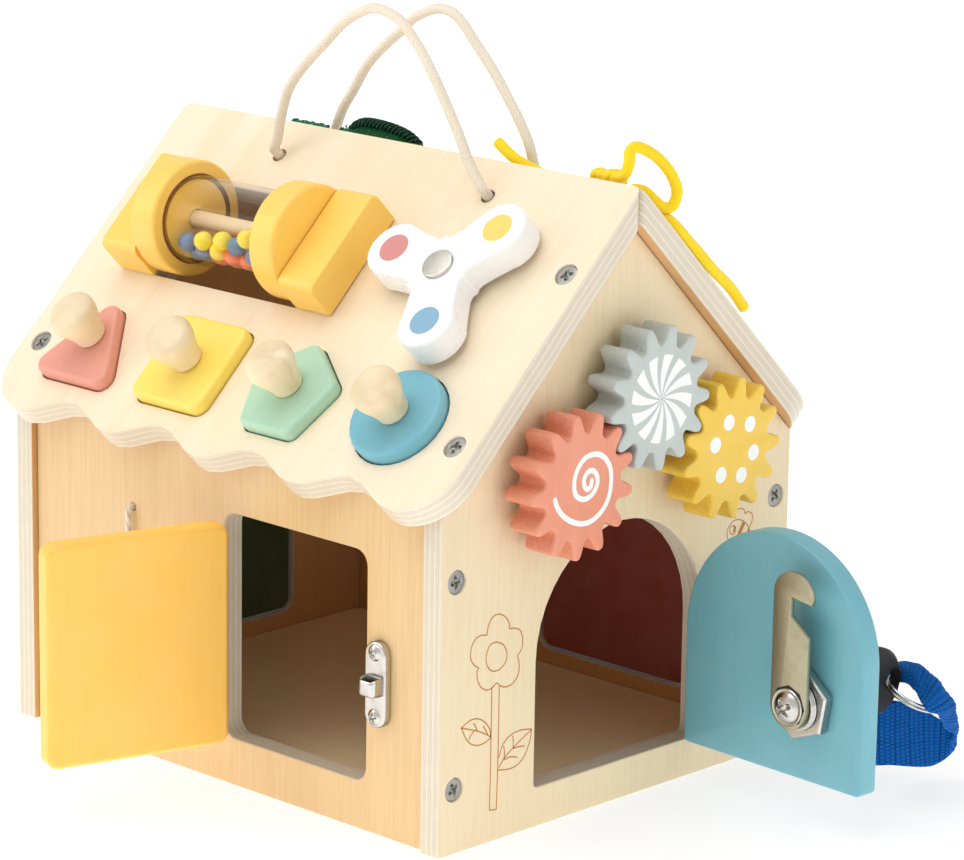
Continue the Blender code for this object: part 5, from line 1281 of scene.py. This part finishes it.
# closed route beside the key, in millimetres: middle (across, up, into the house),
# way to the upper edge, hollow
strapRoute = ((-8.0, -19.6, -25.9, 0.0, 10.6, 0.6, 0.3), (-4.0, -21.5, -36.6, 0.0, 11.2, 0.7, 0.4),
              (-1.5, -24.6, -47.0, 0.5, 10.7, 1.8, 0.3), (1.5, -26.5, -52.4, 1.5, 8.6, 1.8, 0.0),
              (6.8, -25.3, -53.6, 1.5, 4.8, 1.4, -0.6), (12.5, -18.5, -47.3, 2.0, 0.6, 4.6, -1.2),
              (17.5, -10.3, -39.1, 2.5, 0.5, 6.4, -2.0), (19.1, -6.0, -34.6, 3.0, 0.2, 8.0, -2.6),
              (16.9, -2.1, -32.8, 3.5, -0.6, 8.5, -3.0), (11.1, 0.3, -34.0, 3.5, -1.6, 7.2, -2.8),
              (4.8, 1.4, -35.2, 4.0, -1.7, 5.7, -2.4), (-2.0, 0.6, -36.4, 4.0, -1.5, 4.5, -1.8),
              (-7.0, -1.4, -32.6, 3.0, -0.6, 3.4, -1.0), (-11.0, -6.0, -28.4, 2.6, 3.4, 3.0, -0.4),
              (-11.5, -13.0, -23.6, 1.2, 7.4, 2.0, 0.1))


def makeStrap():
    # band swept along the closed route: rows of small bumps set like bricks on both faces, edges rolled round
    s = strap
    route = smoothLoop(np.array(strapRoute) / 1000, 60)
    route = np.vstack([route, route[:1]])
    run = walked(route[:, :3])
    length = run[-1]
    goal = np.linspace(0, length, s["rows"], endpoint=False)
    line = np.stack([np.interp(goal, run, route[:, k]) for k in range(7)], -1)
    centre, upright, cup = line[:, :3], line[:, 3:6], line[:, 6:]
    half = np.linalg.norm(upright, axis=1)[:, None]
    upright = upright / half
    side = unit(np.cross(unit(np.roll(centre, -1, 0) - np.roll(centre, 1, 0)), upright))
    # section: upper face left to right, right edge, lower face right to left, left edge
    wide, rim, flat = s["across"], s["rim"], s["thick"] / 2
    across, turn = np.linspace(-1, 1, wide), np.linspace(0, math.pi, rim + 2)[1:-1]
    ones, none = np.ones(wide), np.zeros(wide)
    u = np.concatenate([across, np.ones(rim), across[::-1], -np.ones(rim)])
    bulge = np.concatenate([none, flat * np.sin(turn), none, flat * np.sin(turn)])
    face = np.concatenate([ones, np.cos(turn), -ones, -np.cos(turn)])
    places = goal[:, None] / length * np.round(length / s["rib"] / 2) * 2
    cell = u * half / s["cross"] + 0.5 * (np.floor(places) % 2)
    relief = np.abs(np.sin(math.pi * places)) ** 0.5 * np.abs(np.cos(math.pi * cell)) ** 0.5
    bent = np.clip(-cup / s["crumpledAt"], 0, 1)
    crumple = s["crumple"] * bent * np.sin(places * 1.1 + 2.5 * u) * np.sin(places * 0.37 - 1.7 * u + 1)
    body = u * (half - flat) + np.sign(u) * bulge
    rise = flat * face + face * s["depth"] * (relief - 1) + cup * (u ** 2 - 0.4) + crumple
    points = centre[:, None] + upright[:, None] * body[..., None] + side[:, None] * rise[..., None]
    paint = yarn("strapWebbing", tint(0, 104, 190), tint(0, 30, 78), 0.75, 0.0, 1900.0, 0.7)
    piece = makePiece("key_strap_woven", [grid(points, True)], "key", paint, "key_strap", keySpace,
                      relief)
    print("strap length", round(float(length), 4), "mean half width", round(float(half.mean()), 4))


makeThread()
makeRing()
makeStrap()
print("lock thread, ring and strap made")

# green leaf behind the ridge: a ribbed roll on a padded body, a glittering strip and a small curl

leaf = {
    "depth": 0.0070, "radius": 0.0025, "ribs": 23, "slant": 3, "rib": 0.0008, "seed": 11, "step": 0.00011,
    "strips": ((-0.0570, -0.0392), (-0.0336, -0.0278)), "stripUp": 0.0030, "stripDown": 0.0036,
    "stripHalf": 0.0006, "stripStep": 0.00012,
    "curl": (-0.0302, 0.0040, 0.2013), "curlRadius": 0.00075, "curlWire": 0.00028,
}
rollRoute = ((-30.6, 195.4), (-30.8, 197.6), (-29.9, 199.6), (-27.8, 201.4), (-24.6, 202.5), (-20.4, 202.8),
             (-14.7, 202.6), (-9.1, 202.0), (-4.6, 200.9), (-1.5, 199.4), (0.6, 197.8), (1.6, 196.3),
             (1.8, 195.2))  # millimetres across, up
bodyShape = ((-0.0017, 0.0), (-0.0016, 0.45), (-0.0009, 0.75), (0.0002, 0.95), (0.0016, 0.80), (0.0030, 0.4),
             (0.0034, 0.0), (0.0008, 0.0))  # down the slope from the roll, and the share of the roll's height
stripShape = np.array([(-1, 0), (-1, 0.5), (-0.8, 0.85), (0, 1), (0.8, 0.85), (1, 0.5), (1, 0), (0, 0)])


def leafPaint(name, light, dark, glints):
    # painted shade: furrows of the relief darker than the ridges; painted highlights: a fine scatter of bright
    # glints
    paint, tree, _ = newPaint(name, Roughness=0.6, Specular_IOR_Level=0.12)
    where = place(tree)
    # painted shade: the relief's furrows take the near-black tone
    tone = ramp(tree, reliefOf(tree), (0.35, dark), (1.0, light))
    glint = noise(tree, where, 1700.0, 2.0, 0.6)
    # painted highlight: glint spots in a pale green
    tone = patched(tree, glint, 0.62 - glints, 0.72 - glints, 0.9, tone, tint(120, 200, 160))
    shade = ramp(tree, noise(tree, where, 900.0, 2.0, 0.6), (0.32, 0.8), (0.42, 0.0))
    finish(tree, mixed(tree, shade, tone, tint(4, 14, 10)), glint, 0.0002, 0.8)
    return paint


def makeLeaf():
    l, air = leaf, house["air"]
    random = np.random.default_rng(l["seed"])
    path, run = smoothPath(np.array([(x, 1000 * l["depth"], z) for x, z in rollRoute]) / 1000, l["step"])
    share, angle = (run / run[-1])[:, None], circle(48)
    # roll: ridges climb round it, deepest between them, the tips frayed
    relief = (0.5 + 0.5 * np.cos(l["ribs"] * share * 2 * math.pi + l["slant"] * angle)) ** 0.7
    fray = relief * random.uniform(0.8, 1.0, (len(path), 48))
    thick = l["radius"] * np.minimum(1, 0.12 + np.minimum(share, 1 - share) * 9) * (1.06 - 0.2 * share)
    makePiece("leaf_roll", [tube(path, thick - l["rib"] * (1 - fray), angle)], "house",
              leafPaint("leafRoll", tint(26, 76, 52), tint(2, 8, 6), -0.03), relief=relief)
    # body: from the roll down to the board on both sides, with threads lying along it
    centre = path[::4]
    down = (centre[:, 1] * slopeCos - (centre[:, 2] - ridgeTop) * slopeSin)[:, None]
    out = (centre[:, 1] * slopeSin + (centre[:, 2] - ridgeTop) * slopeCos)[:, None]
    section = smoothLoop(np.array(bodyShape) * [1000, 1], 12) * [0.001, 1]
    threads = np.abs(np.sin(np.arange(len(section)) * 1.37)) * np.ones((len(centre), 1))
    height = np.maximum(section[None, :, 1], 0)
    lift = air + height * (out - 0.0006) - 0.00025 * (1 - threads) * (height > 0.05)
    body = np.stack(np.broadcast_arrays(centre[:, :1], down + section[:, 0], np.maximum(lift, air)), -1)
    bright = leafPaint("leafBody", tint(4, 92, 44), tint(0, 36, 16), -0.03)
    piece = makePiece("leaf_body", [grid(body)], "house", bright, "fabric_leaf", rearRoof,
                      threads)
    # strip: a thin band standing on its edge, its top frayed
    strips = []
    for left, right in l["strips"]:
        across = np.arange(left, right, l["stripStep"])[:, None]
        top = l["stripUp"] * (0.97 + 0.04 * np.sin(across * 2600) + random.uniform(-0.03, 0.03, across.shape))
        line = l["stripDown"] + 0.0003 * np.sin(across * 1500) + l["stripHalf"] * stripShape[:, 0]
        strips.append(grid(np.stack(np.broadcast_arrays(across, line, air + top * stripShape[:, 1]), -1)))
    makePiece("leaf_strip", strips, "house", leafPaint("leafStrip", tint(6, 120, 76), tint(0, 24, 14), 0.05),
              where=rearRoof,
              relief=random.uniform(0.4, 1.0, sum(len(points) for points, _, _ in strips)))
    turn = np.linspace(0.4, 5.2, 40)
    loop = np.stack([np.cos(turn), 0.25 * np.sin(2 * turn), np.sin(turn)], -1)
    curl = np.array(l["curl"]) + l["curlRadius"] * loop
    makePiece("leaf_curl", [tube(curl, l["curlWire"], circle(10))], "house",
              metal("curlSilver", tint(214, 212, 214), 0.2))


makeLeaf()
print("leaf made")
